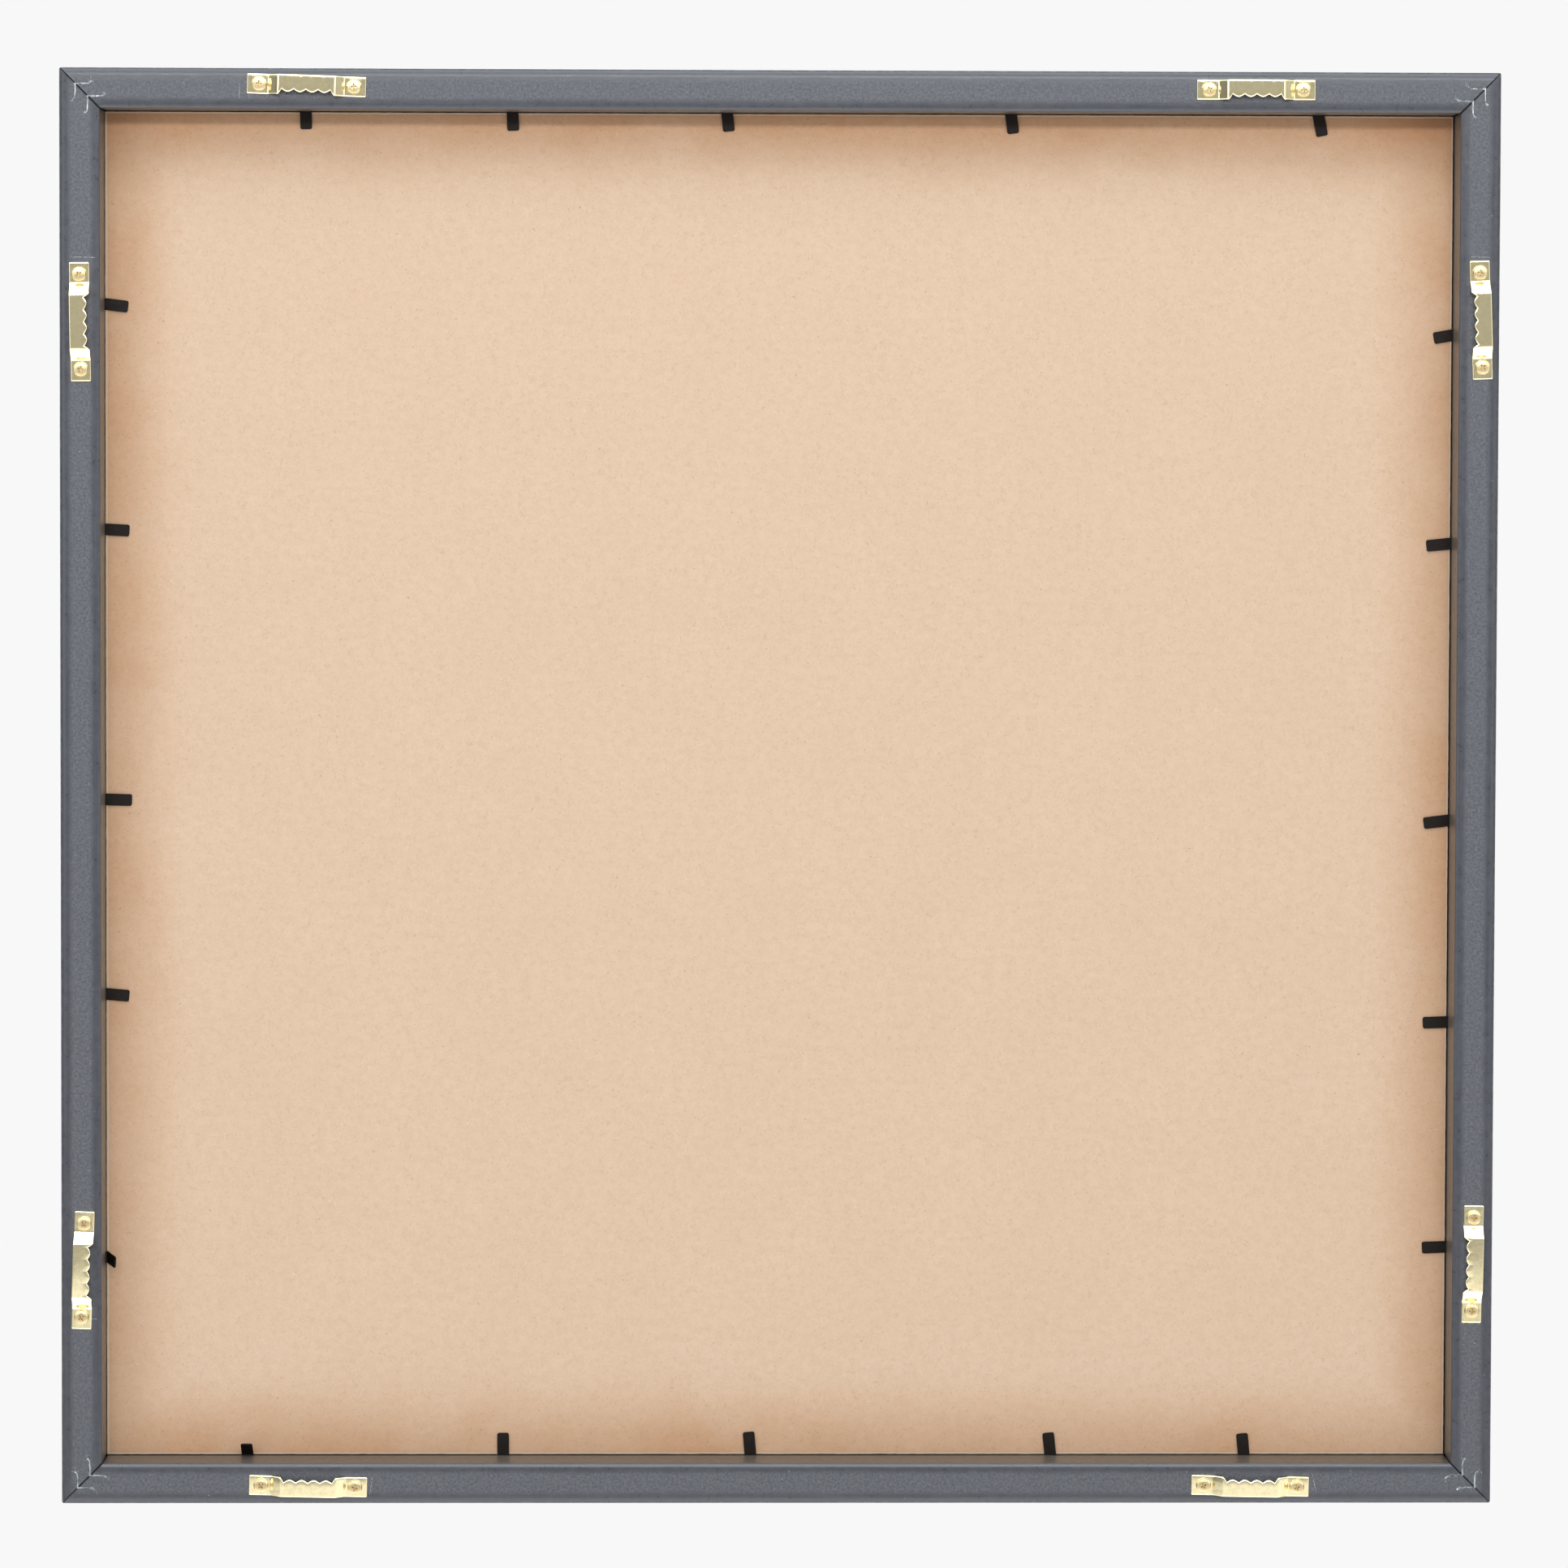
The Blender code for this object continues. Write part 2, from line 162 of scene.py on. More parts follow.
def moulding_paint():
    """Satin blue-grey paint: smooth along both edges of the back, finely grained between them."""
    m = Paint("moulding_paint", Specular_IOR_Level=0.5)
    x, y, z = m.axes()
    inset = m.math("SUBTRACT", HALF, m.math("MAXIMUM", m.math("ABSOLUTE", x), m.math("ABSOLUTE", z)))
    ragged = m.math("MULTIPLY", m.math("SUBTRACT", m.noise(260, 3), 0.5), 1.6 * MM)
    edge = m.math("ADD", inset, ragged)
    on_back = m.ramp(y, REAR - 0.5 * MM, REAR - 0.12 * MM)
    band = m.math("MULTIPLY", m.ramp(edge, 2.6 * MM, 5.2 * MM), m.ramp(edge, 10.4 * MM, 12.9 * MM, 1, 0))
    grain = m.math("MULTIPLY", band, on_back)
    fine = m.noise(1080, 5, 0.66)
    coarse = m.noise(420, 4, 0.6)
    mottle = m.ramp(coarse, 0.36, 0.66)
    colour = m.blend(mottle, (0.056, 0.060, 0.074), (0.068, 0.072, 0.088))
    grained = m.blend(m.ramp(fine, 0.36, 0.66), (0.067, 0.071, 0.086), (0.126, 0.132, 0.150))
    colour = m.blend(grain, colour, grained)
    pits = m.math("MULTIPLY", m.ramp(m.noise(900, 3, 0.55, distortion=0.8), 0.63, 0.72), grain)
    colour = m.blend(m.math("MULTIPLY", pits, 0.50), colour, (0.034, 0.035, 0.042))
    peaks = m.math("MULTIPLY", m.ramp(m.noise(1500, 3, 0.6), 0.61, 0.70), grain)
    colour = m.blend(m.math("MULTIPLY", peaks, 0.32), colour, (0.25, 0.26, 0.275))
    along = m.add("CombineXYZ", {0: inset, 1: m.math("MULTIPLY", m.math("ADD", x, z), 0.03), 2: y}).outputs[0]
    streaks = m.noise(900, 2, 0.5, vector=along)
    colour = m.blend(m.ramp(streaks, 0.42, 0.70, 0, 0.30), colour, (0.096, 0.099, 0.118))
    # the inner walls get a warm taupe colour: painted reflection of the MDF panel on the blue-grey paint
    inner = m.ramp(inset, WALL - 0.5 * MM, WALL - 0.1 * MM)
    inner = m.math("MULTIPLY", inner, m.ramp(y, REAR - 1.3 * MM, REAR - 0.5 * MM, 1, 0))
    inner = m.math("MULTIPLY", inner, m.ramp(y, FRONT + LIP_DEPTH, FRONT + LIP_DEPTH + 1 * MM))
    colour = m.blend(m.math("MULTIPLY", inner, 0.9), colour, (0.130, 0.115, 0.098))
    # a pale line along the outer back edge: partly worn paint, partly painted highlight on the edge's
    # rounding
    rubbed_edge_and_highlight = m.ramp(inset, 0.1 * MM, 0.7 * MM, 1, 0)
    rubbed_edge_and_highlight = m.math("MULTIPLY", rubbed_edge_and_highlight, m.ramp(y, REAR - 1.6 * MM, REAR - 0.7 * MM))
    rubbed_edge_and_highlight = m.math("MULTIPLY", rubbed_edge_and_highlight, m.ramp(m.noise(340, 4), 0.46, 0.62, 0.1, 0.5))
    colour = m.blend(rubbed_edge_and_highlight, colour, (0.36, 0.37, 0.39))
    m.set("Base Color", colour)
    rough = m.math("ADD", m.math("MULTIPLY", grain, 0.16), m.ramp(coarse, 0.3, 0.7, 0.27, 0.35))
    rough = m.math("ADD", rough, m.math("MULTIPLY", inner, 0.06))
    m.set("Roughness", rough)
    height = m.math("MULTIPLY", m.math("ADD", fine, m.math("MULTIPLY", coarse, 0.8)), grain)
    height = m.math("SUBTRACT", height, m.math("MULTIPLY", pits, 0.9))
    lower = m.bump(m.noise(170, 3), 0.06 * MM, 0.35)
    m.bump(height, 0.10 * MM, 0.9, lower)
    return m.material


def torn_paint():
    """Chipped paint and primer where the V-nails were driven."""
    m = Paint("torn_paint", Roughness=0.55)
    m.set("Base Color", m.blend(m.ramp(m.noise(900, 3), 0.35, 0.62), (0.13, 0.15, 0.17), (0.40, 0.44, 0.46)))
    m.bump(m.noise(1800, 3), 0.05 * MM, 0.6)
    return m.material


def nail_steel():
    m = Paint("bright_nail_steel", Metallic=1.0)
    brushed = m.noise(1400, 4, 0.6, vector=m.stretch((1, 1, 0.3)))
    colour = m.blend(m.ramp(brushed, 0.35, 0.65), (0.34, 0.35, 0.35), (0.62, 0.64, 0.64))
    x, y, z = m.axes()
    upright = m.math("GREATER_THAN", m.math("ABSOLUTE", x), m.math("ABSOLUTE", z))
    smeared = m.ramp(m.noise(520, 3, 0.6), 0.42, 0.58)
    smeared = m.math("MULTIPLY", smeared, m.math("SUBTRACT", 0.9, m.math("MULTIPLY", upright, 0.65)))
    m.set("Base Color", m.blend(smeared, colour, (0.13, 0.15, 0.17)))
    m.set("Roughness", m.ramp(brushed, 0.3, 0.7, 0.26, 0.50))
    m.bump(brushed, 0.03 * MM, 0.5)
    return m.material


def brass(name, bright, dark, head=None):
    """Plated brass with a faint drawing direction, tarnish and small dents. With the height of a screw
    head, its recess and its rim are darker."""
    m = Paint(name, Metallic=1.0)
    tarnish = m.noise(330, 4, 0.6)
    colour = m.blend(m.ramp(tarnish, 0.42, 0.72), bright, dark)
    spots = m.ramp(m.noise(1500, 3, 0.5), 0.66, 0.76, 0, 0.55)
    colour = m.blend(spots, colour, (0.42, 0.27, 0.10))
    rough = m.ramp(m.noise(700, 4), 0.3, 0.7, 0.07, 0.13)
    if head:
        x, y, z = m.axes()
        radius = m.math("POWER", m.math("ADD", m.math("MULTIPLY", x, x), m.math("MULTIPLY", y, y)), 0.5)
        low = m.ramp(z, head - 0.50 * MM, head - 0.22 * MM, 1, 0)
        low = m.math("MULTIPLY", low, m.ramp(radius, 1.35 * MM, 1.5 * MM, 1, 0))
        low = m.math("MULTIPLY", low, m.ramp(z, 0, 0.1 * MM))
        colour = m.blend(m.math("MULTIPLY", low, 0.75), colour, (0.60, 0.41, 0.18))
        colour = m.blend(m.ramp(radius, 2.30 * MM, 2.72 * MM, 0, 0.40), colour, (0.50, 0.41, 0.24))
        rough = m.math("ADD", m.math("ADD", rough, 0.20), m.math("MULTIPLY", low, 0.2))
    m.set("Base Color", colour)
    m.set("Roughness", rough)
    lower = m.bump(m.noise(90, 2), 0.035 * MM, 0.5)
    m.bump(m.noise(1100, 3, vector=m.stretch((0.25, 1, 1))), 0.012 * MM, 0.4, lower)
    return m.material


def blackened_steel():
    m = Paint("blackened_steel", Specular_IOR_Level=0.16)
    scuffs = m.ramp(m.noise(900, 4, 0.65), 0.60, 0.74)
    m.set("Base Color", m.blend(scuffs, (0.006, 0.003, 0.002), (0.024, 0.016, 0.011)))
    m.set("Roughness", m.ramp(m.noise(500, 3), 0.3, 0.7, 0.42, 0.60))
    m.bump(m.noise(1300, 4), 0.03 * MM, 0.5)
    return m.material


def bare_mdf():
    """Pressed fibreboard: mottled, full of short fibres, and darker round its edges."""
    m = Paint("bare_mdf", Roughness=0.82)
    x, y, z = m.axes()
    cloud = m.noise(24, 4, 0.55)
    colour = m.blend(m.ramp(cloud, 0.30, 0.72), (0.770, 0.572, 0.417), (0.784, 0.588, 0.432))
    mottle = m.noise(330, 5, 0.62, vector=m.stretch((0.75, 1, 1)))
    colour = m.blend(m.ramp(mottle, 0.36, 0.68, 0, 0.40), colour, (0.70, 0.49, 0.33))
    felt = m.noise(620, 4, 0.6, distortion=1.6)
    colour = m.blend(m.ramp(felt, 0.50, 0.72, 0, 0.42), colour, (0.60, 0.41, 0.27))
    pale = m.noise(800, 4, 0.6, vector=m.stretch((1, 1, 1.1)), distortion=2.2)
    colour = m.blend(m.ramp(pale, 0.56, 0.74, 0, 0.55), colour, (0.90, 0.72, 0.55))
    flecks = m.ramp(m.noise(1350, 2, 0.5, distortion=1.2), 0.665, 0.76, 0, 0.60)
    colour = m.blend(flecks, colour, (0.34, 0.21, 0.12))
    reach = m.math("MAXIMUM", m.math("ABSOLUTE", x), m.math("ABSOLUTE", z))
    near = m.math("ADD", reach, m.math("MULTIPLY", m.math("SUBTRACT", m.noise(60, 3), 0.5), 12 * MM))
    edge = PANEL_HALF
    # darker and warmer towards the panel's edges: painted shade of the recess walls, with some staining
    edge_shade_and_stain = m.ramp(m.noise(19, 4, 0.6), 0.30, 0.70, 0.62, 1.0)
    edge_shade_and_stain = m.math("MULTIPLY", m.ramp(near, edge - 34 * MM, edge + 2 * MM), edge_shade_and_stain)
    colour = m.blend(edge_shade_and_stain, colour, (0.84, 0.67, 0.53), "MULTIPLY")
    high = m.math("ADD", z, m.math("MULTIPLY", m.math("SUBTRACT", m.noise(34, 4), 0.5), 18 * MM))
    # darker along the top edge: painted shadow of the top rail
    painted_top_shadow = m.ramp(high, edge - 20 * MM, edge + 2 * MM, 0, 0.62)
    colour = m.blend(painted_top_shadow, colour, (0.78, 0.66, 0.55), "MULTIPLY")
    # darker towards both upper corners: painted shade of the recess walls
    corner = m.ramp(m.math("ABSOLUTE", x), edge - 55 * MM, edge)
    corner = m.math("MULTIPLY", m.ramp(high, edge - 40 * MM, edge), corner)
    colour = m.blend(m.math("MULTIPLY", corner, 0.6), colour, (0.80, 0.66, 0.54), "MULTIPLY")
    # the light edge that the photo shows round the panel
    rim = m.ramp(reach, edge - 1.0 * MM, edge - 0.6 * MM, 0, 0.50)
    colour = m.blend(rim, colour, (0.86, 0.72, 0.55))
    m.set("Base Color", colour)
    height = m.math("ADD", felt, m.math("MULTIPLY", pale, 0.8))
    m.bump(height, 0.07 * MM, 0.55)
    return m.material


def fibre(name, dark, light):
    m = Paint(name, Roughness=0.85)
    m.set("Base Color", m.blend(m.ramp(m.noise(500, 2), 0.35, 0.65), dark, light))
    m.bump(m.noise(3000, 2), 0.02 * MM, 0.4)
    return m.material


def clear_glazing():
    """Clear glazing that lets light through to the picture, with a reflection that grows at a slant."""
    m = Paint("clear_glazing", Base_Color=(0.97, 0.99, 0.98), IOR=1.5)
    m.set("Roughness", m.ramp(m.noise(14, 2), 0.3, 0.7, 0.015, 0.04))
    m.set("Alpha", m.ramp(m.noise(9, 2), 0.2, 0.8, 0.05, 0.07))
    m.bump(m.noise(6, 1), 0.05 * MM, 0.2)
    return m.material


def card():
    m = Paint("mount_card", Roughness=0.80)
    tooth = m.noise(1500, 4, 0.6)
    m.set("Base Color", m.blend(m.ramp(tooth, 0.35, 0.68), (0.70, 0.69, 0.665), (0.80, 0.79, 0.765)))
    m.bump(tooth, 0.03 * MM, 0.5)
    return m.material


def spacer_wood():
    m = Paint("spacer_finish", Roughness=0.6)
    lines = m.noise(420, 4, 0.6, vector=m.stretch((0.2, 1, 0.2)))
    m.set("Base Color", m.blend(m.ramp(lines, 0.35, 0.68), (0.66, 0.65, 0.625), (0.76, 0.75, 0.73)))
    m.bump(lines, 0.04 * MM, 0.5)
    return m.material


def cotton_paper():
    m = Paint("cotton_paper", Roughness=0.86)
    felt = m.noise(520, 5, 0.62)
    colour = m.blend(m.ramp(felt, 0.36, 0.66), (0.79, 0.775, 0.735), (0.88, 0.868, 0.835))
    hairs = m.ramp(m.noise(1500, 3, 0.5, distortion=2.5), 0.66, 0.76, 0, 0.35)
    m.set("Base Color", m.blend(hairs, colour, (0.66, 0.61, 0.53)))
    m.bump(m.math("ADD", felt, m.math("MULTIPLY", m.noise(160, 3), 0.8)), 0.12 * MM, 0.6)
    return m.material


def foam_board():
    m = Paint("riser_board", Roughness=0.75)
    cell = m.add("TexVoronoi", {"Vector": m.place(), "Scale": 1600}).outputs["Distance"]
    m.set("Base Color", m.blend(m.ramp(cell, 0.2, 0.6), (0.76, 0.75, 0.72), (0.83, 0.825, 0.80)))
    m.bump(cell, 0.04 * MM, 0.4)
    return m.material


def glue_and_gap_shade():
    # near-black glue: partly the glue's own colour, partly painted shade inside the mitre gap
    m = Paint("glue_darkened_as_gap_shade", Roughness=0.75, Specular_IOR_Level=0.2)
    mottle = m.ramp(m.noise(700, 3), 0.35, 0.65)
    m.set("Base Color", m.blend(mottle, (0.010, 0.008, 0.007), (0.030, 0.026, 0.022)))
    m.bump(m.noise(900, 3), 0.05 * MM, 0.5)
    return m.material


def studio_floor():
    m = Paint("studio_floor", Roughness=0.7, Specular_IOR_Level=0.1)
    m.set("Base Color", m.blend(m.noise(30, 3), (0.84, 0.84, 0.835), (0.88, 0.88, 0.875)))
    return m.material


PAINT = moulding_paint()
TORN = torn_paint()
GLUE_AND_GAP_SHADE = glue_and_gap_shade()
NAIL = nail_steel()
BRASS = brass("hanger_brass_plate", (0.95, 0.84, 0.53), (0.86, 0.76, 0.45))
HEAD_HEIGHT = 1.5 * MM
SCREW_BRASS = brass("screw_brass_plate", (0.66, 0.54, 0.31), (0.57, 0.45, 0.23), HEAD_HEIGHT)
BLACK = blackened_steel()
MDF = bare_mdf()
DARK_FIBRE = fibre("dark_fibres", (0.44, 0.28, 0.17), (0.62, 0.44, 0.30))
PALE_FIBRE = fibre("pale_fibres", (0.84, 0.67, 0.50), (0.93, 0.79, 0.62))
GLASS = clear_glazing()
CARD = card()
SPACER = spacer_wood()
PAPER = cotton_paper()
FOAM = foam_board()


# ---------------------------------------------------------------- mesh helpers


def to_mesh(name, bm):
    """A mesh from a bmesh, its faces turned outwards."""
    bmesh.ops.recalc_face_normals(bm, faces=bm.faces)
    mesh = bpy.data.meshes.new(name)
    bm.to_mesh(mesh)
    bm.free()
    return mesh


def dress(mesh, finish, sharp):
    """One finish all over, and smooth shading but for edges sharper than this."""
    mesh.shade_smooth()
    mesh.set_sharp_from_angle(angle=math.radians(sharp))
    mesh.materials.clear()
    mesh.materials.append(finish)


def piece(name, shape, finish, body="frame", stands_for=(), matrix=None, sharp=35):
    """One visible piece from a bmesh or a mesh, riding on a body."""
    mesh = shape
    if isinstance(shape, bmesh.types.BMesh):
        mesh = to_mesh(name, shape)
        dress(mesh, finish, sharp)
    obj = bpy.data.objects.new(name, mesh)
    bpy.context.scene.collection.objects.link(obj)
    if matrix:
        obj.matrix_world = matrix
    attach(obj, body)
    if stands_for:
        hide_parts(*stands_for)


def skin(bm, rings, closed=True, caps=True):
    """Faces between rings of the same number of points."""
    made = [[bm.verts.new(point) for point in ring] for ring in rings]
    count = len(made[0])
    for low, high in zip(made, made[1:]):
        for i in range(count if closed else count - 1):
            j = (i + 1) % count
            bm.faces.new((low[i], low[j], high[j], high[i]))
    if caps:
        bm.faces.new(made[0])
        bm.faces.new(made[-1])
    return made


def rounded(corners, steps):
    """The outline through (x, y, radius) corners, each rounded by an arc of that radius."""
    outline = []
    for i, (x, y, radius) in enumerate(corners):
        here = Vector((x, y))
        if radius == 0:
            outline.append(here)
            continue
        back = (Vector(corners[i - 1][:2]) - here).normalized()
        ahead = (Vector(corners[(i + 1) % len(corners)][:2]) - here).normalized()
        half_angle = back.angle(ahead) / 2
        centre = here + (back + ahead).normalized() * (radius / math.sin(half_angle))
        start = here + back * (radius / math.tan(half_angle)) - centre
        sweep = (math.pi - 2 * half_angle) * math.copysign(1, back.cross(ahead))
        for k in range(steps + 1):
            outline.append(centre + Matrix.Rotation(-sweep * k / steps, 2) @ start)
    return outline


def between(points, step):
    """The same closed outline with extra points, so that none are further apart than step."""
    filled = []
    for i, point in enumerate(points):
        ahead = points[(i + 1) % len(points)]
        count = max(1, math.ceil((ahead - point).length / step))
        filled += [point.lerp(ahead, k / count) for k in range(count)]
    return filled


def tube(bm, path, radii, sides=6, squash=1.0):
    """A closed tube along a path, with its own radius at each point."""
    rings = []
    for i, point in enumerate(path):
        ahead = (path[min(i + 1, len(path) - 1)] - path[max(i - 1, 0)]).normalized()
        up = BACKWARDS if abs(ahead.dot(BACKWARDS)) < 0.9 else Vector((1, 0, 0))
        across = ahead.cross(up).normalized()
        up = across.cross(ahead)
        ring = []
        for k in range(sides):
            turn = math.tau * k / sides
            ring.append(point + radii[i] * (math.cos(turn) * across + math.sin(turn) * squash * up))
        rings.append(ring)
    skin(bm, rings)


# ---------------------------------------------------------------- moulding

NAIL_INSETS = {row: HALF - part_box(f"v_nail_top_right_{row}")[1].x for row in ("outer", "inner")}
NAIL_THICK = 0.42 * MM
SLOT_CLEAR = 0.07 * MM
NAIL_SUNK = 0.10 * MM
NAIL_DEEP = 10 * MM
# widths of the soft edges of the back, and how far each falls away
OUTER_ROUND, OUTER_FALL = 3.2 * MM, 1.5 * MM
INNER_ROUND, INNER_FALL = 2.4 * MM, 0.9 * MM


def rail_section():
    """The moulding's outline as (inset, depth) points, fine enough to take a little waviness."""
    corners = [
        (0, FRONT, 0.8 * MM),
        (SIGHT, FRONT, 0.8 * MM),
        (SIGHT, FRONT + LIP_DEPTH, 0.15 * MM),
        (WALL, FRONT + LIP_DEPTH, 0),
        (WALL, REAR, 0),
        (0, REAR, 0),
    ]
    outline = rounded(corners, 8)[:-2]
    steps = 12
    for k in range(steps + 1):
        turn = math.pi / 2 * (1 - k / steps)
        inset = WALL - INNER_ROUND * (1 - math.sin(turn))
        outline.append(Vector((inset, REAR - INNER_FALL * (1 - math.cos(turn)))))
    for k in range(steps + 1):
        turn = math.pi / 2 * k / steps
        inset = OUTER_ROUND * (1 - math.sin(turn))
        outline.append(Vector((inset, REAR - OUTER_FALL * (1 - math.cos(turn)))))
    return between(outline, 1.4 * MM)


def section_middle(section):
    return Vector((sum(p[0] for p in section), sum(p[1] for p in section))) / len(section)


def nail_legs(corner, row):
    """The middle line of a V-nail in the space of its corner's first side, from end to apex to end.
    Each leg is straight and then turns outwards."""
    rng = random.Random(f"{corner} {row}")
    inset = NAIL_INSETS[row] + NAIL_THICK / 2
    apex = Vector((HALF - inset, inset))
    legs = []
    for lead, outwards in ((Vector((-1, 0)), Vector((0, -1))), (Vector((0, 1)), Vector((1, 0)))):
        straight, flare = rng.uniform(4.2, 4.9) * MM, rng.uniform(0.8, 1.25)
        leg = []
        for k in (1, 2, 3, 4):
            sag = 0.10 * MM * math.sin(math.pi * k / 4)
            leg.append(apex + lead * straight * k / 4 - outwards * sag)
        for a, o in ((0.55, 0.05), (1.05, 0.24), (1.50, 0.58), (1.80, 0.98)):
            leg.append(apex + lead * (straight + a * MM) + outwards * o * flare * MM)
        legs.append(leg)
    return legs[0][::-1] + [apex] + legs[1]


def band(path, half):
    """The outline of a strip along a path, half wide to each side."""
    sides = ([], [])
    for i, point in enumerate(path):
        before = (point - path[max(i - 1, 0)]) or (path[1] - path[0])
        after = (path[min(i + 1, len(path) - 1)] - point) or before
        before, after = before.normalized(), after.normalized()
        normals = [Vector((-t.y, t.x)) for t in (before, after)]
        normal = (normals[0] + normals[1]).normalized()
        reach = half / max(0.5, normal.dot(normals[0]))
        sides[0].append(point + normal * reach)
        sides[1].append(point - normal * reach)
    return sides[0] + sides[1][::-1]


NAIL_PATHS = {(corner, row): nail_legs(corner, row) for corner in CORNERS for row in NAIL_INSETS}


def nail_slots(side):
    """Cutters for the V-nails at both ends of a rail, in the space of its side."""
    bm = bmesh.new()
    for (corner, _), path in NAIL_PATHS.items():
        if side not in CORNERS[corner]:
            continue
        outline = band(path, NAIL_THICK / 2 + SLOT_CLEAR)
        if side == CORNERS[corner][1]:
            outline = [(r - HALF, HALF - s) for s, r in outline]
        ends = (REAR - NAIL_DEEP - 0.6 * MM, REAR + 2 * MM)
        skin(bm, [[(s, r, end) for s, r in outline] for end in ends])
    return to_mesh("slots", bm)


def cut(mesh, cutter_mesh):
    """mesh with the cutter's solid taken away."""
    objects = [bpy.data.objects.new("work", item) for item in (mesh, cutter_mesh)]
    for obj in objects:
        bpy.context.scene.collection.objects.link(obj)
    modifier = objects[0].modifiers.new("cut", "BOOLEAN")
    modifier.object = objects[1]
    graph = bpy.context.evaluated_depsgraph_get()
    result = bpy.data.meshes.new_from_object(objects[0].evaluated_get(graph))
    for obj in objects:
        bpy.data.objects.remove(obj)
    return result


def make_rails():
    section = rail_section()
    middle = section_middle(section)
    chamfer, waviness, steps = 0.22 * MM, 0.045 * MM, 130
    for number, side in enumerate(SIDES):
        bm = bmesh.new()
        rings = []
        for k in range(-steps, steps + 1):
            ring = []
            for inset, depth in section:
                reach = HALF - inset - MITRE_GAP / 2 * math.sqrt(2)
                point = Vector((inset, depth))
                if abs(k) == steps:
                    point = point + (middle - point).normalized() * chamfer
                else:
                    reach -= chamfer
                s = reach * min(1.0, abs(k) / (steps - 1)) * (1 if k > 0 else -1)
                wave = noise.noise(Vector((s * 34, inset * 160, number * 9.1 + depth * 60)))
                flat = 1.0 if depth > REAR - 1.8 * MM or inset < 1 * MM else 0.3
                push = wave * waviness * flat
                out = (point - middle).normalized()
                ring.append((s, point.x + out.x * push, point.y + min(out.y, 0.4) * push))
            rings.append(ring)
        skin(bm, rings)
        mesh = cut(to_mesh("rail", bm), nail_slots(side))
        mesh.name = "moulding_" + side
        mesh.transform(side_space(side))
        dress(mesh, PAINT, 38)
        piece("moulding_" + side, mesh, PAINT, stands_for=["rail_" + side])


make_rails()


def make_glue():
    """The glue that fills each mitre, a little below the surface all round; its near-black is partly painted
    shade of the mitre gap.
    """
    section = rail_section()
    middle = section_middle(section)
    below, shift = 0.5 * MM, 0.47 * MITRE_GAP / math.sqrt(2)
    for corner, (first, _) in CORNERS.items():
        to_world = side_space(first)
        bm = bmesh.new()
        rings = []
        for off in (-shift, shift):
            ring = []
            for point in section:
                inset, depth = point + (middle - point).normalized() * below
                ring.append(to_world @ Vector((HALF - inset + off, inset + off, depth)))
            rings.append(ring)
        skin(bm, rings)
        piece("mitre_glue_" + corner, bm, GLUE_AND_GAP_SHADE)


make_glue()


def paint_ridge(bm, rng, to_world, points, widest):
    """A ridge of torn paint along (place, height) points on the back."""
    path = [to_world @ Vector((p.x, p.y, REAR + h)) for p, h in points]
    radii = [widest * rng.uniform(0.35, 1.0) for _ in points]
    radii[0] = radii[-1] = 0.025 * MM
    tube(bm, path, radii, 6, 0.7)


def torn_lips(bm, rng, to_world, path):
    """Broken lips of lifted paint along both flanks of a nail's slot."""
    dense = []
    for here, ahead in zip(path, path[1:]):
        count = max(1, round((ahead - here).length / (0.25 * MM)))
        dense += [here.lerp(ahead, k / count) for k in range(count)]
    dense.append(path[-1])
    for flank in (1, -1):
        i = rng.randint(0, 3)
        while i < len(dense) - 4:
            run = rng.randint(4, 10)
            points = []
            for j in range(i, min(i + run, len(dense) - 1)):
                t = (dense[j + 1] - dense[j]).normalized()
                off = NAIL_THICK / 2 + SLOT_CLEAR + rng.uniform(0.0, 0.10) * MM
                spot = dense[j] + Vector((-t.y, t.x)) * flank * off
                points.append((spot, rng.uniform(0.01, 0.06) * MM))
            if len(points) > 2:
                paint_ridge(bm, rng, to_world, points, rng.uniform(0.08, 0.17) * MM)
            i += run + rng.randint(0, 3 if flank > 0 else 7)


def torn_flakes(bm, rng, to_world, end, inner):
    """Curled flakes of paint about one end of a nail."""
    lead = (end - inner).normalized()
    across = Vector((-lead.y, lead.x))
    for _ in range(6):
        start = end + lead * rng.uniform(-1.6, 0.7) * MM + across * rng.uniform(-0.8, 0.8) * MM
        turn = math.atan2(lead.y, lead.x) + rng.uniform(-1.2, 1.2)
        bend, length = rng.uniform(-1.8, 1.8), rng.uniform(0.4, 1.4) * MM
        points = []
        for k in range(6):
            points.append((start.copy(), 0.02 * MM + 0.07 * MM * math.sin(math.pi * k / 5)))
            heading = turn + bend * k / 5
            start += Vector((math.cos(heading), math.sin(heading))) * length / 5
        paint_ridge(bm, rng, to_world, points, rng.uniform(0.07, 0.16) * MM)


def make_nails():
    """Flared V-nails, with ragged lips of lifted paint along their slots and flakes at their ends."""
    bevel = 0.06 * MM
    for (corner, row), path in NAIL_PATHS.items():
        to_world = side_space(CORNERS[corner][0])
        bm = bmesh.new()
        rings = []
        for grow, depth in ((0, -NAIL_DEEP), (0, -NAIL_SUNK - bevel), (-bevel, -NAIL_SUNK)):
            outline = band(path, NAIL_THICK / 2 + grow)
            rings.append([to_world @ Vector((s, r, REAR + depth)) for s, r in outline])
        skin(bm, rings)
        nail = f"corner_nail_{corner}_{row}"
        piece(nail, bm, NAIL, stands_for=[f"v_nail_{corner}_{row}"])
        rng = random.Random(f"lips {corner} {row}")
        bm = bmesh.new()
        torn_lips(bm, rng, to_world, path)
        torn_flakes(bm, rng, to_world, path[0], path[1])
        torn_flakes(bm, rng, to_world, path[-1], path[-2])
        piece(f"torn_paint_{corner}_{row}", bm, TORN)


make_nails()

